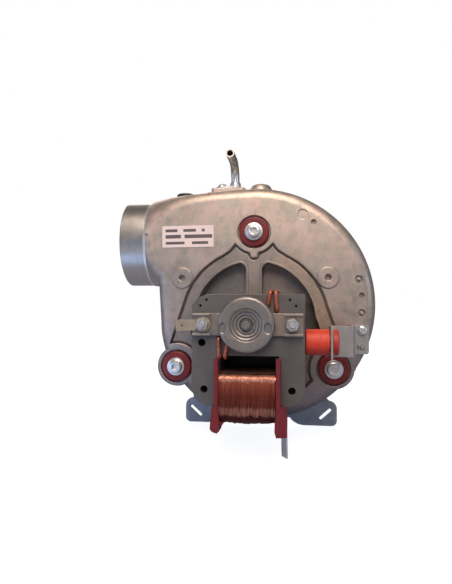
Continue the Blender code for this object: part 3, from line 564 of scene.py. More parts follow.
def duct_section(x, grow):
    """The duct's outline at x: a rounded box at the scroll, which turns into the spigot's circle."""
    t = (DUCT_X - x) / (DUCT_X - CAST_X)
    neck = SPIGOT_R + SPIGOT_STEP
    low = (DUCT_LOW - grow) * (1 - t) + (OUTLET_Y - neck - grow) * t
    high = (TOP_Y - 1.2 - 2.4 * t + grow) * (1 - t) + (OUTLET_Y + neck + grow) * t
    rear, front = CASE_REAR + 0.02 - grow, CASE_FRONT + 0.9 * t ** 8 + grow
    limit = (front - rear) / 2 - 0.02
    upper, lower = (min(SHOULDER + (limit - SHOULDER) * t ** power, limit) for power in (3.0, 7.0))
    corners = ((front, high, -1, -1, upper, 0), (rear, high, 1, -1, upper, 90),
               (rear, low, 1, 1, lower, 180), (front, low, -1, 1, lower, 270))
    return [(x, y, z) for cz, cy, sz, sy, r, start in corners
            for z, y in arc(r, start, start + 90, 10, (cz + sz * r, cy + sy * r))]


def duct_mesh(grow, last_x, count=18):
    xs = [DUCT_X + (last_x - DUCT_X) * i / count for i in range(count + 1)]
    return loft([duct_section(x, grow) for x in xs])


def arch_outline(inset):
    right_lug = polar(BUSH_CIRCLE, BUSHES["right"])
    lug_r = 15.4 + inset
    half = [(3.0 + inset, 45.6 - inset), *arc(14.0 + inset, -68, -40, 6, (0.0, BUSH_CIRCLE))]
    half += [(12.4 - inset * 0.3, 51.4 - inset * 1.6), (15.8 - inset, 47.0 - inset * 0.6)]
    half += arc(ARCH_R - inset, 64, 15, 22)
    half += arc(lug_r, 72 + 6 * inset, 210 - 2.8 * inset, 24, right_lug)
    half += arc(53.0 - inset, -47, -90, 14)
    tab_x, tab_y = 2.1 + inset * 0.6, 42.4 - inset
    half = [(tab_x, tab_y), *half]
    return [(0.0, 41.6 - inset), *half, *[(-x, y) for x, y in reversed(half[:-1])]]


def rear_lugs():
    return [polar(scroll_radius(a) + 2.5, a) for a in LUG_ANGLES] + [(-40.0, TOP_Y + 2.0)]


def bush_centres():
    return [polar(BUSH_CIRCLE, angle) for angle in BUSHES.values()]


def volute_housing():
    outline = scroll_outline(0.05) + [(-8.0, TOP_Y - 0.3), (-16.0, TOP_Y - 0.7), (DUCT_X, TOP_Y - 1.2),
                                     (-32.0, TOP_Y - 1.56), (-34.0, 58.0), (-71.5, 51.0), (-65.0, DUCT_LOW)]
    body = crowned(outline, CASE_REAR, CASE_FRONT, SHOULDER, 8)
    barrel = turned([(0.0, -70.0), (SPIGOT_R + SPIGOT_STEP, -70.0), (SPIGOT_R + SPIGOT_STEP, CAST_X),
                     (SPIGOT_R, CAST_X - 1.5), (0.0, CAST_X - 1.5)], 96)
    spigot = turned([(0.0, -70.0), (SPIGOT_R, -70.0), (SPIGOT_R, SPIGOT_END_X + 0.5),
                     (SPIGOT_R - 0.5, SPIGOT_END_X), (0.0, SPIGOT_END_X)], 96)
    bore = turned([(0.0, -62.0), (SPIGOT_BORE, -62.0), (SPIGOT_BORE, SPIGOT_END_X + 0.5),
                   (SPIGOT_BORE + 0.5, SPIGOT_END_X), (SPIGOT_BORE + 0.5, -94.0), (0.0, -94.0)], 96)
    on_axis = shift(y=OUTLET_Y, z=OUTLET_Z)
    barrel, spigot, bore = (moved(m, SIDEWAYS, on_axis) for m in (barrel, spigot, bore))
    lugs = [drum(LUG_R, 40.0, 60.6, c, 56, 0.9, 0.5) for c in bush_centres()[1:]]
    rear = [drum(REAR_LUG_R, CASE_REAR + 0.01, 10.0, c, 28, 0.8) for c in rear_lugs()]
    pad = crowned(rounded_box(-32.0, -8.0, 22.0, 40.0, 2.5), 80.0, 93.5, 0.8)
    pad = moved(pad, UPRIGHT, Matrix.Scale(-1, 4, (0, 0, 1)))
    bump = turned([(0.0, 96.5), (4.6, 96.4), (6.1, 95.8), (7.1, 94.8), (7.7, 93.6), (8.3, 92.4), (8.3, 84.0),
                   (0.0, 84.0)], 56)
    cavity = scroll_outline(WALL)[1:] + [(-20.0, TOP_Y - WALL), (-45.0, 38.0), (-59.4, 4.0)]
    steps = [("+", duct_mesh(0.0, CAST_X + 0.02), barrel, spigot, *lugs, *rear, pad, on_top(bump, BUMP_X)),
             ("-", prism(cavity, [(0.0, -1.0), (0.0, CASE_FRONT - WALL)]), duct_mesh(-DUCT_WALL, -70.0), bore),
             ("+", *[drum(LUG_R - 0.7, 53.5, CASE_FRONT - 1.0, c, 48) for c in bush_centres()],
              drum(3.6, 50.0, 59.0, BRACKET_SCREW, 20)),
             ("-", flared(arch_outline(0.0), 50.0, CASE_FRONT, 0.9, 3))]
    for c in bush_centres():
        face = 60.6 if c[0] else CASE_FRONT
        steps.append(("-", flared(circle(COUNTERBORE_R, 56, c), COUNTERBORE_FLOOR, face, 0.5),
                      drum(7.3, 50.0, 70.0, c, 32)))
    for c in bush_centres()[1:]:
        steps.append(("-", drum(10.4, 43.0, 53.48, c, 40)))
    for c in BOSSES:
        steps.append(("+", drum(7.2, 60.0, BOSS_FRONT, c, 56, 0.95)))
        steps.append(("-", flared(circle(1.8, 24, c), 58.4, BOSS_FRONT, 1.0)))
    pips = ((66.9, 27.9), (68.5, 6.3))
    steps += [
        ("-", *[flared(circle(2.3, 20, c), 59.2, CASE_FRONT, 0.4) for c in pips],
         drum(1.85, 58.35, 70.0, (68.5, 17.5), 24), drum(1.7, 51.5, 70.0, BRACKET_SCREW, 16),
         drum(1.9, 58.35, 70.0, (38.5, 64.8), 24), drum(1.05, 52.0, 70.0, (-72.0, 58.0), 16),
         flared(circle(3.1, 40, (31.5, 70.1)), CASE_FRONT - 0.75, CASE_FRONT, 0.6)),
        ("+", *[drum(1.1, 58.0, 62.2, c, 16, 0.4) for c in pips], drum(1.3, 57.0, 63.4, BRACKET_PIN, 16, 0.4)),
        ("-", *[drum(1.7, 0.0, 9.0, c, 16) for c in rear_lugs()],
         on_top(drum(2.6, 80.0, 100.0, sides=24), TAP_X, TAP_Z),
         on_top(drum(1.7, 86.0, 100.0, sides=16), TAP_SCREW_X), on_top(drum(4.6, 80.0, 100.0, sides=24), PLUG_X))]

    def surface(face):
        """Cast scroll and duct, machined spigot, and a machined chamfer between them in the brighter zinc look,
        which also paints a highlight line there.
        """
        x, y, z = face.center / MM
        if x > CAST_X or math.hypot(y + OUTLET_Z, z - OUTLET_Y) < 27.5:
            return 0
        return 2 if x > CAST_X - 1.5 else 1

    outfit("scroll_casing", solve(body, *steps), "die_cast", "volute_housing",
           looks=("die_cast", "machined", "zinc"), pick=surface)


def plate_radius(degrees):
    radius = scroll_radius(degrees) + 1.95
    c, s = math.cos(math.radians(degrees)), math.sin(math.radians(degrees))
    for x, y in rear_lugs():
        along, aside = x * c + y * s, x * s - y * c
        reach = (REAR_LUG_R + 0.6) ** 2 - aside ** 2
        if reach > 0 and along > 0:
            radius = max(radius, along + math.sqrt(reach))
    return radius


def slot_outline(centre, degrees, length, width):
    half = (length - width) / 2
    ends = arc(width / 2, -90, 90, 8, (half, 0.0)) + arc(width / 2, 90, 270, 8, (-half, 0.0))
    c, s = math.cos(math.radians(degrees)), math.sin(math.radians(degrees))
    return [(centre[0] + x * c - y * s, centre[1] + x * s + y * c) for x, y in ends]


def mounting_plate():
    """A flat plate with two slotted feet, and the bell mouth of the inlet."""
    points = [polar(plate_radius(a), a) for a in range(-50, 91, 2)]
    points += [(-34.0, TOP_Y + 2.5), *arc(REAR_LUG_R + 0.6, 60, 150, 8, rear_lugs()[-1]), (-60.0, 84.0),
               (-64.0, 60.0), (-65.5, 24.0)]
    points += [polar(plate_radius(a), a) for a in range(-188, -132, 2)]
    points += [*arc(6.0, 95, 180, 10, (-51.2, -66.2)), *arc(4.0, 180, 270, 8, (-53.2, -75.0))]
    toe = [(22.6, -73.4), (24.2, -75.4), (26.2, -76.9), (28.8, -78.2), (31.2, -78.8), (33.6, -79.0)]
    points += [(-x, y) for x, y in reversed(toe)] + [polar(76.0, a) for a in range(-105, -72, 3)] + toe
    points += [*arc(4.0, -90, 0, 8, (53.6, -75.0)), *arc(6.0, 0, 85, 10, (51.6, -66.2))]
    holes = [circle(1.8, 20, c) for c in rear_lugs()]
    holes += [slot_outline((s * 49.0, -70.2), s * 42.0, 11.2, 2.2) for s in (-1, 1)]
    flat = crowned(points, 0.0, PLATE_THICK, 0.35, 2, 0.35)
    bend = BELL_R - INLET_R
    bell = [(BELL_R - bend * math.sin(a), bend * (1 - math.cos(a))) for a in quarter(8)]
    outer = [(r + PLATE_THICK * math.sin(a), z + PLATE_THICK * math.cos(a))
             for (r, z), a in zip(bell, quarter(8))]
    mouth = turned(bell + [(INLET_R, 8.5), (INLET_R + PLATE_THICK, 8.5)] + list(reversed(outer)), 96)
    mesh = solve(flat, ("-", drum(BELL_R, -2.0, 4.0, sides=96),
                        *[flared(h, -2.0, PLATE_THICK, 0.6, 3) for h in holes]))
    outfit("mounting_plate", together(mesh, mouth), "plate_steel", "rear_plate")


def plate_screws():
    screw = [(0.0, 8.0), (1.35, 8.0), (1.35, -GAP), (3.6, -GAP), (3.6, -1.4), (3.3, -1.9), (2.6, -2.25),
             (1.6, -2.4), (0.0, -2.4)]
    for index, (x, y) in enumerate(rear_lugs(), 1):
        mesh = cross_headed(screw, 1.9, 0.4, -3.0, -1.2, 32)
        outfit(f"plate_screw_head_{index}", moved(mesh, shift(x, y)), "zinc", f"plate_screw_{index}")


# ---- motor carrier and bushes


def window_outline(side):
    half = [(SPOKE_HALF, 12.0), (SPOKE_HALF, 33.0), *arc(4.6, 172, 98, 8, (SPOKE_HALF + 4.6, 34.0))]
    half += arc(WINDOW_R, 68, 5, 24)
    half += [(42.4, -4.0), (40.5, -12.0), (34.5, -21.0), (20.0, -24.0), (12.5, -12.0), (11.5, 0.0),
             (9.0, 8.0)]
    return [(side * x, y) for x, y in half]


def motor_carrier():
    """The arch with its spoke and two windows, and black sheets in the core's window that paint the shade seen
    there.
    """
    body = crowned(arch_outline(ARCH_GAP), CARRIER_REAR, CARRIER_FRONT, 1.2, 4)
    steps = [("+", drum(54.5, 54.0, COUNTERBORE_FLOOR - 0.4, sides=96))]
    steps += [("-", drum(LUG_R + 0.5, 52.8, 70.0, c, 48)) for c in bush_centres()]
    for angle, c in zip(BUSHES.values(), bush_centres()):
        arm = block(44.0, BUSH_CIRCLE, -6.0, 6.0, CARRIER_REAR + 0.05, 49.1)
        steps.append(("+", moved(arm, turn(angle)), drum(6.3, CARRIER_REAR + 0.1, 49.0, c, 32)))
        steps.append(("-", drum(10.2, 48.9, 60.0, c, 40), drum(2.75, 45.5, 60.0, c, 20)))
    steps.append(("+", *[crowned(grown(window_outline(s), 1.7), 56.0, 60.3, 0.6) for s in (1, -1)]))
    steps.append(("-", *[flared(window_outline(s), CARRIER_FLOOR, 60.3, 0.6) for s in (1, -1)]))
    pocket = arc(44.0, -125, -55, 14) + [(14.0, -27.0), (-14.0, -27.0)]
    steps.append(("-", flared(pocket, 50.0, CARRIER_FRONT, 0.5)))
    pillar = [(0.0, 46.0), (5.0, 46.0), (4.2, CARRIER_FRONT), (0.0, CARRIER_FRONT)]
    steps.append(("+", *[moved(turned(pillar, 32), shift(x)) for x in (-STUD_X, STUD_X)]))
    steps.append(("-", *[drum(STUD_R + GAP, 49.0, 70.0, (x, 0.0), 20) for x in (-STUD_X, STUD_X)],
                  drum(4.2, 40.0, 70.0, sides=32)))

    def shade(face):
        """Painted shade: darker on the floor behind the windows, black in the low pocket."""
        x, y, z = face.center / MM
        if -y < 51.5 and z < -20.0:
            return 2
        return 1 if -y < 47.2 and math.hypot(x, z) < 43.0 else 0

    outfit("carrier_frame", solve(body, *steps), "die_cast", "motor_carrier",
           looks=("dark_cast_and_painted_shade", "painted_shade_cast", "painted_shade_black"), pick=shade)
    # Black sheets behind and around the coil in the core's window: painted shade.
    shade_liner = [block(x0, x1, -27.2, -18.6, 76.0, 112.5, 0.05) for x0, x1 in ((-15.2, -14.9), (16.1, 16.4))]
    shade_liner.append(block(-15.2, 16.4, -26.9, -26.6, 76.0, 112.3, 0.05))
    shade_liner.append(block(-15.2, 16.4, -27.2, -18.3, 75.8, 76.1, 0.05))
    outfit("painted_shade_liner", together(*shade_liner), "black_rubber")


def bushes():
    grommet = [(3.7, 62.0), (4.2, 62.2), (8.7, 62.2), (9.4, 61.95), (9.8, 61.5), (9.9, 61.0), (9.9, 58.3),
               (7.0, 58.3), (7.0, 53.2), (9.5, 53.2), (9.5, 49.8), (3.7, 49.8)]
    sleeve = [(2.8, 62.4), (3.4, 62.4), (3.4, 49.4), (2.8, 49.4)]
    screw = [(0.0, 66.8), (2.9, 66.8), (3.8, 66.6), (4.25, 66.1), (4.3, 64.3), (4.6, 64.05), (5.6, 63.9),
             (5.9, 63.6), (5.9, 62.9), (5.8, 62.7), (2.5, 62.7), (2.5, 46.2), (0.0, 46.2)]
    for name, (x, y) in zip(BUSHES, bush_centres()):
        outfit(f"grommet_{name}", moved(turned(grommet), shift(x, y)), "red_silicone", f"bush_{name}")
        outfit(f"sleeve_{name}", moved(turned(sleeve), shift(x, y)), "steel", f"bush_sleeve_{name}")
        recess = [polar(2.35 if k % 2 else 1.75, 30.0 * k + 8) for k in range(12)]
        mesh = solve(turned(screw, 48), ("-", flared(recess, 64.6, 66.8, 0.2)))
        outfit(f"washer_screw_{name}", moved(mesh, shift(x, y)), "zinc", f"bush_screw_{name}")


# ---- motor


SHADING_RINGS = {"upper_inner": ((11.4, 10.9), (12.9, 18.6)),
                 "upper_outer": ((16.4, 8.1), (16.0, 18.6)),
                 "lower_inner": ((-11.4, -10.9), (-12.9, -19.4)),
                 "lower_outer": ((-16.4, -8.1), (-16.0, -19.4))}


def core_outline(inset):
    corner = 11.4
    h, t, b, w = STACK_HALF - inset, STACK_TOP - inset, STACK_BOTTOM + inset, CORE_WINDOW_HALF + inset
    left = arc(corner, 180, 270, 12, (-h + corner, b + corner))
    right = arc(corner, 270, 360, 12, (h - corner, b + corner))
    window_top = CORE_WINDOW_TOP + inset
    return [(h, t), (-23.4, t), (-28.8 + inset, 15.2 - inset), (-h, 10.9), *left, (-w, b), (-w, window_top),
            (w, window_top), (w, b), *right]


def stator_core():
    """Real sheets: each lamination stands a little proud of the seam behind it."""
    holes = [circle(STUD_R + 0.4, 20, (x, 0.0)) for x in (-STUD_X, STUD_X)]
    holes += [circle(2.15, 24, c) for c in ((-26.4, -10.6), (-25.0, -37.2), (25.0, -37.2))]
    holes += [circle(0.8, 12, c) for c in SMALL_CORE_HOLES]
    holes.append(circle(14.0, 56))
    holes += [circle(1.5, 12, foot) for foot, _ in SHADING_RINGS.values()]
    sheets = []
    count = 28
    pitch = (STACK_FRONT - STACK_REAR) / count
    for k in range(count):
        z = STACK_REAR + pitch * k
        proud = 0.0 if k in (0, count - 1) else 0.06 * ((k * 7) % 3)
        sheets.append(slab(z + (0.14 if k else 0.0), z + pitch, core_outline(proud), *holes))
        if k:
            sheets.append(slab(z - 0.02, z + 0.16, core_outline(0.3), *holes))
    sheets[-2] = solve(crowned(core_outline(0.0), STACK_FRONT - 0.9, STACK_FRONT + 0.02, 0.35),
                       ("-", *[prism(hole, [(0.0, 90.0), (0.0, 110.0)]) for hole in holes]))
    nub = [(0.0, 0.12), (0.55, 0.10), (0.85, 0.0), (0.85, -0.3), (0.0, -0.3)]
    for x, y in ((-25.2, -27.6), (-25.2, -31.5), (25.0, -27.6), (25.0, -31.5)):
        sheets.append(moved(turned(nub, 16), shift(x, y, STACK_FRONT)))
    outfit("core_sheets", together(*sheets), "lamination", "stator_core")
    # Black discs behind the small holes: painted shade inside them.
    shade_discs = [drum(0.95, 100.0, 102.5, c, 12) for c in SMALL_CORE_HOLES]
    outfit("painted_shade_hole_backs", together(*shade_discs), "black_rubber")


def rounded_path(path, radius, steps=5):
    """A closed path with its corners rounded."""
    points = []
    for index, corner in enumerate(path):
        corner = Vector(corner)
        before, after = Vector(path[index - 1]), Vector(path[(index + 1) % len(path)])
        a = corner + (before - corner).normalized() * radius
        b = corner + (after - corner).normalized() * radius
        for k in range(steps + 1):
            t = k / steps
            points.append(tuple((1 - t) ** 2 * a + 2 * t * (1 - t) * corner + t * t * b))
    return points


def shading_rings():
    rear, front = STACK_REAR - 1.5, STACK_FRONT + 1.5
    for name, (foot, edge) in SHADING_RINGS.items():
        path = [(*foot, rear), (*foot, front), (*edge, front), (*edge, rear)]
        outfit(f"shading_loop_{name}", wire(rounded_path(path, 1.2), 1.3, True, 5), "copper",
               f"shading_ring_{name}")


def bobbin():
    """The barrel, its two cheeks with lips, and a terminal housing under each."""
    body = block(-17.2, 17.2, STACK_BOTTOM - 1.2, -34.9, 75.8, 106.2, 0.5)
    flange = [(65.0, -18.2), (74.0, -18.2), (74.0, -21.0), (107.8, -21.0), (107.8, -18.6), (117.0, -18.6),
              (117.0, -57.0), (65.0, -57.0)]
    cheeks = [moved(crowned([(-z, y) for z, y in flange], x0, x1, 0.3, 2, 0.3), SIDEWAYS)
              for x0, x1 in ((-17.3, -15.2), (16.45, 17.35))]
    lips = [block(x0, x1, -56.5, -19.0, 106.0, 117.25, 0.6) for x0, x1 in ((-17.6, -15.1), (16.42, 18.9))]
    left = [(-17.4, -44.6), (-18.8, -45.6), (-19.4, -53.0), (-19.7, -56.8), (-19.0, -58.1), (-17.4, -59.0),
            (-15.6, -59.2), (-14.6, -58.4), (-14.2, -56.5), (-14.4, -52.2), (-15.0, -48.0), (-15.2, -44.6)]
    right = [(16.6, -44.6), (19.4, -44.8), (22.2, -46.6), (22.6, -50.0), (22.5, -60.3), (16.6, -60.8),
             (15.7, -57.8), (15.8, -52.5), (16.4, -49.0)]
    nub = block(-15.0, -12.8, -54.9, -53.4, 107.0, 116.0, 0.3)
    left, right = (crowned(housing, 106.4, 117.3, 0.4, 2, 0.4) for housing in (left, right))
    steps = [("+", *cheeks, *lips, left, nub, right),
             ("-", block(-20.0, 20.0, STACK_BOTTOM - GAP, -35.9, 76.9, 105.1, 0.05)),
             ("-", block(-17.5, -15.3, -65.0, -50.0, 108.4, 115.2, 0.05),
              block(17.8, 21.9, -65.0, -50.0, 108.4, 115.2, 0.05))]
    outfit("bobbin_moulding", solve(body, *steps), "red_plastic", "bobbin")


def coil():
    """The outer layer is one long wire, wound turn by turn over a solid core of copper."""
    random.seed(7)
    corner = ((115.2, -27.9, 2.6), (67.0, -27.9, 2.6), (67.0, -53.2, 3.0), (115.2, -53.2, 4.2))
    outline = []
    for (z, y, r), (sz, sy, start) in zip(corner, ((-1, -1, 0), (1, -1, 90), (1, 1, 180), (-1, 1, 270))):
        outline += arc(r, start, start + 90, 5, (z + sz * r, y + sy * r))
    outline += [(115.4 + 0.25 * math.sin(math.pi * k / 9), -49.0 + 18.6 * k / 9) for k in range(10)]
    section = [(y, z, wy - y, wz - z) for (z, y), (wz, wy) in zip(outline, grown(outline, 1.0))]
    turns, span, middle = 60, 31.3, 0.38
    points = []
    lift = 0.2
    for t in range(turns):
        lift = 0.6 * lift + random.uniform(-0.12, 0.3)
        sag = 1.1 * (1 - ((t + 0.5) / turns * 2 - 1) ** 2)
        stray = random.uniform(-0.5, 0.5)
        for k, (y, z, ny, nz) in enumerate(section):
            x = middle - span / 2 + span * (t + k / len(section)) / turns
            rise = lift
            if z > 108.0 and -49.5 < y < -43.5:
                x += stray * random.uniform(0.3, 1.3)
                rise += random.uniform(0.0, 0.55)
            drop = sag * max(0.0, min(1.0, (-y - 46.0) / 6.0))
            points.append((x, y + rise * ny - drop, z + rise * nz))
    strand = wire(points, 0.29, resolution=1)
    inner = [(-z, y) for z, y in grown(outline, -0.15)]
    hole = [(-z, y) for z, y in rounded_box(75.4, 106.6, STACK_BOTTOM - 1.5, -34.6, 0.6, 1)]
    core = moved(slab(middle - 15.8, middle + 15.8, inner, hole), SIDEWAYS)
    outfit("coil_winding", together(core, strand), "copper", "coil", sharp=60,
           looks=("wound_copper",))


def bridges_and_caps():
    middle = (STACK_REAR + STACK_FRONT) / 2
    cap = [(3.8, 112.9), (3.8, 113.8), (4.0, 113.95), (4.95, 114.0), (5.1, 113.2), (5.55, 113.2),
           (5.7, 114.3), (5.9, 114.4), (6.75, 114.5), (6.9, 113.7), (7.35, 113.7), (7.5, 114.75),
           (7.7, 114.9), (8.4, 115.05), (8.6, 114.3), (9.05, 114.3), (9.2, 115.1), (9.8, 115.4),
           (13.9, 115.5), (14.8, 115.35), (15.35, 114.9), (15.65, 114.1), (15.75, 113.2), (15.75, 110.2),
           (15.2, 110.2), (15.2, 112.4), (13.8, 113.0), (5.0, 112.8)]
    race = [(2.65, 112.4), (3.3, 112.4), (3.5, 111.8), (6.4, 111.6), (6.6, 112.0), (7.8, 112.0), (8.0, 111.8),
            (8.0, 107.2), (7.8, 107.0), (2.65, 107.0)]
    z0, z1 = STACK_FRONT + GAP, STACK_FRONT + GAP + 2.2

    # Rib faces take the lighter die-cast look as a painted highlight, the rest the darker one.
    def ribs_painted_lit(face):
        x, y = face.center.x / MM, -face.center.y / MM
        return 1 if abs(y - middle) > z1 + 1.2 - middle and abs(x) > 20.0 else 0

    for end, back in (("front", ()), ("rear", (shift(z=-middle), turn(180, "Y"), shift(z=middle)))):
        base = crowned(rounded_box(-31.4, 31.4, -6.4, 6.4, 1.2), z0, z1, 0.3)
        ribs = [block(*sorted((s * 20.8, s * 31.2)), *sorted((r * 5.0, r * 6.35)), z1 - 1.0, z1 + 2.2, 0.25)
                for s in (-1, 1) for r in (-1, 1)]
        mesh = solve(base, ("+", *ribs, drum(13.0, z0 + 0.05, 113.5, sides=64, r=0.4)),
                     ("-", drum(8.3, z0 + 1.3, 120.0, sides=48), drum(4.0, 100.0, 120.0, sides=32),
                      *[drum(STUD_R + 0.4, 100.0, 120.0, (x, 0.0), 24) for x in (-STUD_X, STUD_X)]))
        outfit(f"bridge_{end}", moved(mesh, *back), "die_cast", f"bearing_bridge_{end}",
               looks=("dark_cast_and_painted_shade", "die_cast"), pick=ribs_painted_lit)
        dents = [flared([(x + 1.8 * c, 2.4 * n - 1.8) for c, n in circle(1.0, 36)], 114.2, 115.45, 1.1, 4)
                 for x in (-13.0, 12.0)]
        disc = solve(turned(cap, 96), ("-", *dents))
        outfit(f"cap_{end}", moved(disc, *back), "steel", f"bearing_cap_{end}",
               looks=("satin_steel",))
        outfit(f"race_{end}", moved(turned(race, 48), *back), "steel", f"bearing_{end}")


def stud_hardware():
    for side, x in (("left", -STUD_X), ("right", STUD_X)):
        thread = [(0.0, 113.8), (1.5, 113.8), (1.9, 113.4)]
        z = 113.3
        while z > 106.5:
            thread += [(2.0, z), (1.72, z - 0.35)]
            z -= 0.7
        thread += [(2.0, 106.0), (2.0, 49.5), (0.0, 49.5)]
        outfit(f"stud_{side}", moved(turned(thread, 24), shift(x)), "zinc", f"motor_stud_{side}", sharp=20)
        body = loft([[(a * s, b * s, z) for a, b in circle(3.75, 6)] for s, z in
                     ((0.9, 109.0), (1.0, 109.35), (1.0, 111.75), (0.88, 112.2))])
        mesh = solve(body, ("-", drum(STUD_R + 0.15, 100.0, 120.0, sides=24)))
        outfit(f"nut_{side}", moved(mesh, turn(14), shift(x)), "zinc", f"motor_nut_{side}")
    washer = [(2.3, 108.7), (3.9, 108.7), (4.1, 108.55), (4.1, 107.95), (3.9, 107.8), (2.3, 107.8)]
    outfit("washer_right", moved(turned(washer, 40), shift(STUD_X)), "zinc", "stud_washer",
           looks=("steel",))
    tab = [*arc(4.4, -140, 140, 24, (-STUD_X, 0.0)), (-30.2, 2.6), *arc(1.0, 90, 180, 4, (-40.0, 1.5)),
           *arc(1.0, 180, 270, 4, (-40.0, -3.0)), (-30.2, -3.6)]
    holes = drum(2.3, 100.0, 120.0, (-STUD_X, 0.0), 32), drum(0.85, 100.0, 120.0, (-37.2, -0.7), 20)
    mesh = solve(crowned(tab, 107.8, 108.7, 0.15, 2, 0.15), ("-", *holes))
    outfit("earth_blade", mesh, "brass", "earth_tab")


def terminals():
    for name, matrices, half in (("right", (turn(28, "Y"), turn(1.2), shift(20.9, -60.6, TERMINAL_Z)), 11.6),
                                 ("left", (shift(-16.3, -55.6, TERMINAL_Z),), 4.6)):
        blade = crowned([(-0.4, -half + 0.6), (-0.15, -half), (0.15, -half), (0.4, -half + 0.6), (0.4, half),
                         (-0.4, half)], -3.15, 3.15, 0.1, 2, 0.1)
        outfit(f"blade_{name}", moved(blade, *matrices), "zinc", f"terminal_{name}")


# ---- fittings on the casing


def buffer_and_bracket():
    foot, top, tip, t = CASE_FRONT + GAP, 82.0, 101.0, 1.2
    x0, x1 = 46.8, 61.6
    right, left = x1 + t / 2, x1 - t / 2
    profile = [(72.8, foot), (72.8, foot + t), (right + 1.0, foot + t), (right, foot + t + 1.0),
               (right, top + t - 1.2), (right - 1.2, top + t), (x0 + t, top + t), (x0 + t, tip), (x0, tip),
               (x0, top + 0.8), (x0 + 0.8, top), (left, top), (left, foot)]
    sheet = crowned([(x, -z) for x, z in profile], -9.2, 9.2, 0.15, 2, 0.15)
    sheet = moved(sheet, UPRIGHT, shift(y=BUFFER_Y))
    along_x = (SIDEWAYS, shift(y=BUFFER_Y, z=BUFFER_Z))
    mesh = solve(sheet, ("-", moved(drum(6.2, 40.0, 55.0, sides=48), *along_x),
                         drum(1.8, 60.0, 64.0, BRACKET_SCREW, 24), drum(1.6, 60.0, 64.0, BRACKET_PIN, 24),
                         block(65.6, 66.3, -17.2, -14.0, 60.0, 64.0, 0.1),
                         moved(block(-2.0, 2.0, -5.0, 5.0, 60.0, 64.0), turn(-40), shift(73.6, -20.6))))
    outfit("bracket_sheet", mesh, "zinc", "buffer_bracket", looks=("galvanised",))
    profile = [(0.0, 51.8), (6.6, 51.8), (7.3, 51.5), (7.6, 51.0), (7.6, 48.6), (7.4, 48.4), (5.9, 48.4),
               (5.9, 46.4), (7.4, 46.4), (7.6, 46.2), (7.6, 33.6), (7.4, 33.0), (6.9, 32.7), (0.0, 32.7)]
    outfit("buffer_rubber", moved(turned(profile, 72), *along_x), "orange_silicone", "buffer")
    screw = [(0.0, 65.2), (1.4, 65.2), (2.4, 64.9), (3.0, 64.3), (3.2, 63.6), (3.2, 62.8), (1.4, 62.8),
             (1.4, 52.5), (0.0, 52.5)]
    mesh = cross_headed(screw, 1.7, 0.35, 64.0, 66.0)
    outfit("bracket_screw_head", moved(mesh, turn(30), shift(*BRACKET_SCREW)), "zinc", "bracket_screw")


def pressure_tap():
    """A tube that rises from its foot and bends forward, open at its end."""
    bend_y, bend_r = 101.0, 10.5
    bend = [(TAP_X, 94.0 + 1.4 * i, TAP_Z) for i in range(6)]
    for degrees in range(8, 84, 5):
        a = math.radians(degrees)
        bend.append((TAP_X - 0.3 * a, bend_y + bend_r * math.sin(a), TAP_Z + bend_r * (1 - math.cos(a))))
    x, y, z = bend[-1]
    bend += [(x - 0.3, y + 0.75, z + 7.0), (x - 0.6, y + 1.45, z + 14.0)]
    collar = turned([(0.0, 94.4), (3.95, 94.4), (3.9, 97.2), (3.4, 98.0), (0.0, 98.0)], 40)
    plate = moved(crowned(slot_outline((-20.4, -32.0), 0.0, 19.0, 9.6), 93.8, 95.2, 0.4, 3), UPRIGHT)
    first, last = bend[0], bend[-1]
    core = [(first[0], first[1] - 3.0, first[2]), *bend, (last[0] - 0.1, last[1] + 0.2, last[2] + 2.0)]
    mesh = solve(wire(bend, 3.0, resolution=8), ("+", on_top(collar, TAP_X, TAP_Z), plate),
                 ("-", on_top(drum(1.8, 90.0, 100.0, sides=24), TAP_SCREW_X), wire(core, 2.1, resolution=7)))
    outfit("tapping_tube", mesh, "steel", "pressure_tube", looks=("zinc",))
    screw = [(0.0, 97.9), (1.6, 97.85), (2.6, 97.4), (3.2, 96.7), (3.4, 95.9), (3.4, 95.5), (1.4, 95.5),
             (1.4, 87.0), (0.0, 87.0)]
    mesh = cross_headed(screw, 1.8, 0.35, 96.8, 99.0)
    outfit("tapping_screw", on_top(mesh, TAP_SCREW_X), "zinc", "tap_screw")


def blanking_plug():
    plug = [(0.0, 91.2), (4.6, 91.2), (5.7, 90.9), (6.3, 90.2), (6.4, 89.4), (6.4, 88.0), (6.1, 87.6),
            (4.2, 87.6), (4.2, 80.5), (0.0, 80.5)]
    outfit("plug", on_top(turned(plug, 48), PLUG_X), "black_rubber", "blanking_plug")


def rating_label():
    """A sticker with plain bars in place of its print."""
    place = turn(LABEL_TILT), shift(*LABEL_AT)
    rear, front = CASE_FRONT + 0.05, CASE_FRONT + 0.45
    sticker = crowned(rounded_box(-17.4, 17.4, -7.2, 7.2, 0.5, 3), rear, front, 0.08, 2)
    outfit("sticker", moved(sticker, *place), "paper", "label")
    bars = []
    for y, height, spans in ((4.0, 1.9, ((-15.2, -7.0), (-3.0, 5.5), (9.4, 11.4))),
                             (0.0, 2.4, ((-15.2, -4.6), (-2.2, 16.4))),
                             (-4.3, 1.8, ((-15.0, -2.2), (2.8, 13.6)))):
        for x0, x1 in spans:
            bars.append(block(x0, x1, y - height / 2, y + height / 2, front - 0.05, front + 0.02, 0.02))
    outfit("sticker_bars", moved(together(*bars), *place), "paper", looks=("ink",))


def dress_cad_nodes():
    """CAD nodes whose shape is right keep it and get a finished material."""
    for node, look in (("stator_limb", "lamination"), ("rotor_cage", "lamination"), ("shaft", "steel"),
                       ("stud_spacer_left", "steel"), ("stud_spacer_right", "steel"), ("cooling_fan", "nylon"),
                       ("impeller", "galvanised"), ("impeller_hub", "steel"), ("impeller_nut", "zinc")):
        mesh = NODES[node].data
        mesh.materials.clear()
        mesh.materials.append(MATERIALS[look])


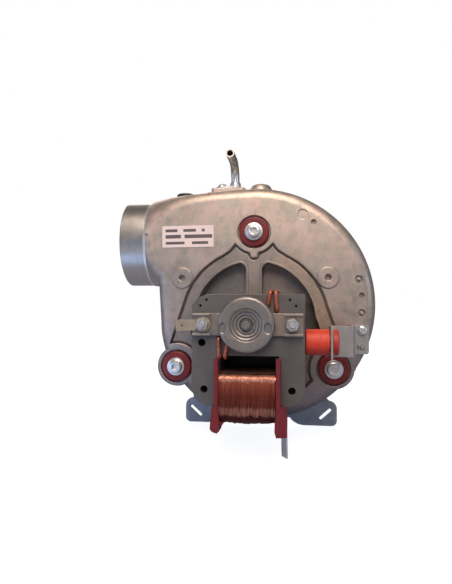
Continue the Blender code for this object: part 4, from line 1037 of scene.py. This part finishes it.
# ---- camera, light, floor


# Metres, degrees and watts from here on.
CAMERA_AT, CAMERA_TURN, LENS = (0.027, -0.402, 0.0104), (7.57, 1.53, 0.23), 32.3
FLOOR_HALF, FLOOR_DROP = 6.0, 0.0005
AMBIENT = 0.13
MIDDLE, SPIGOT = (0.0, 0.0, 0.02), (-0.09, -0.06, 0.05)
# Name, place, aim, power, width and colour.
LIGHTS = (("key_high", (0.0, -0.55, 0.75), MIDDLE, 4.4, 0.5, (1.0, 0.83, 0.71)),
          ("key_mid", (0.1, -0.95, 0.55), MIDDLE, 3.2, 0.5, (1.0, 0.86, 0.77)),
          ("side_left", (-0.85, -0.45, 0.15), MIDDLE, 1.1, 0.5, (0.55, 0.72, 1.0)),
          ("side_right", (0.85, -0.45, 0.25), MIDDLE, 1.1, 0.5, (0.72, 0.84, 1.0)),
          ("low_left", (-0.55, -0.75, 0.02), MIDDLE, 0.35, 0.16, (0.5, 0.68, 1.0)),
          ("bounce_left", (-0.119, -0.146, -0.072), SPIGOT, 0.045, 0.12, (0.33, 0.56, 1.0)),
          ("rear", (-0.35, 0.9, 0.55), MIDDLE, 3.0, 0.6, (1.0, 0.95, 0.9)))


def floor_material():
    """Pale matt floor, which fades into the white backdrop."""
    look = Look("floor", (0.40, 0.44, 0.54), roughness=0.9)
    far = look.node("ShaderNodeVectorMath", Vector=look.node("ShaderNodeTexCoord").outputs["Object"])
    far.operation = "LENGTH"
    glow = look.ramp(far.outputs["Value"], 0.15, 1.0, 0.90, 1.0)
    strength = look.combine("MULTIPLY", glow, look.node("ShaderNodeLightPath").outputs["Is Camera Ray"])
    look.set(look.shader, Emission_Color=(1.0, 1.0, 1.0, 1.0), Emission_Strength=strength)
    return look.material


def studio():
    scene = bpy.context.scene
    camera = bpy.data.objects.new("camera", bpy.data.cameras.new("camera"))
    camera.data.lens = LENS
    camera.data.sensor_width = 36.0
    camera.data.clip_end = 20.0
    yaw, pitch, roll = CAMERA_TURN
    camera.matrix_world = shift(*CAMERA_AT) @ turn(yaw) @ turn(90 + pitch, "X") @ turn(roll)
    scene.collection.objects.link(camera)
    scene.camera = camera

    world = bpy.data.worlds.new("studio")
    world.use_nodes = True
    tree = world.node_tree
    background = tree.nodes["Background"]
    background.inputs["Color"].default_value = (1.0, 1.0, 1.0, 1.0)
    rays = tree.nodes.new("ShaderNodeLightPath")
    level = tree.nodes.new("ShaderNodeMapRange")
    level.inputs["To Min"].default_value, level.inputs["To Max"].default_value = AMBIENT, 1.0
    tree.links.new(rays.outputs["Is Camera Ray"], level.inputs["Value"])
    tree.links.new(level.outputs["Result"], background.inputs["Strength"])
    scene.world = world
    scene.view_settings.view_transform = "Standard"

    bm = bmesh.new()
    bmesh.ops.create_grid(bm, x_segments=2, y_segments=2, size=FLOOR_HALF)
    floor = bpy.data.objects.new("floor", mesh_from(bm))
    floor.location = (0.0, 0.0, CAD_BOX[0].z - FLOOR_DROP)
    floor.data.materials.append(floor_material())
    scene.collection.objects.link(floor)

    for name, place, aim, power, width, colour in LIGHTS:
        light = bpy.data.objects.new(name, bpy.data.lights.new(name, "AREA"))
        light.data.energy = power
        light.data.size = width
        light.data.color = colour
        light.location = place
        light.visible_camera = False
        light.rotation_euler = (Vector(aim) - Vector(place)).to_track_quat("-Z", "Y").to_euler()
        scene.collection.objects.link(light)


studio()
volute_housing()
mounting_plate()
plate_screws()
motor_carrier()
bushes()
stator_core()
shading_rings()
bobbin()
coil()
bridges_and_caps()
stud_hardware()
terminals()
buffer_and_bracket()
pressure_tap()
blanking_plug()
rating_label()
dress_cad_nodes()
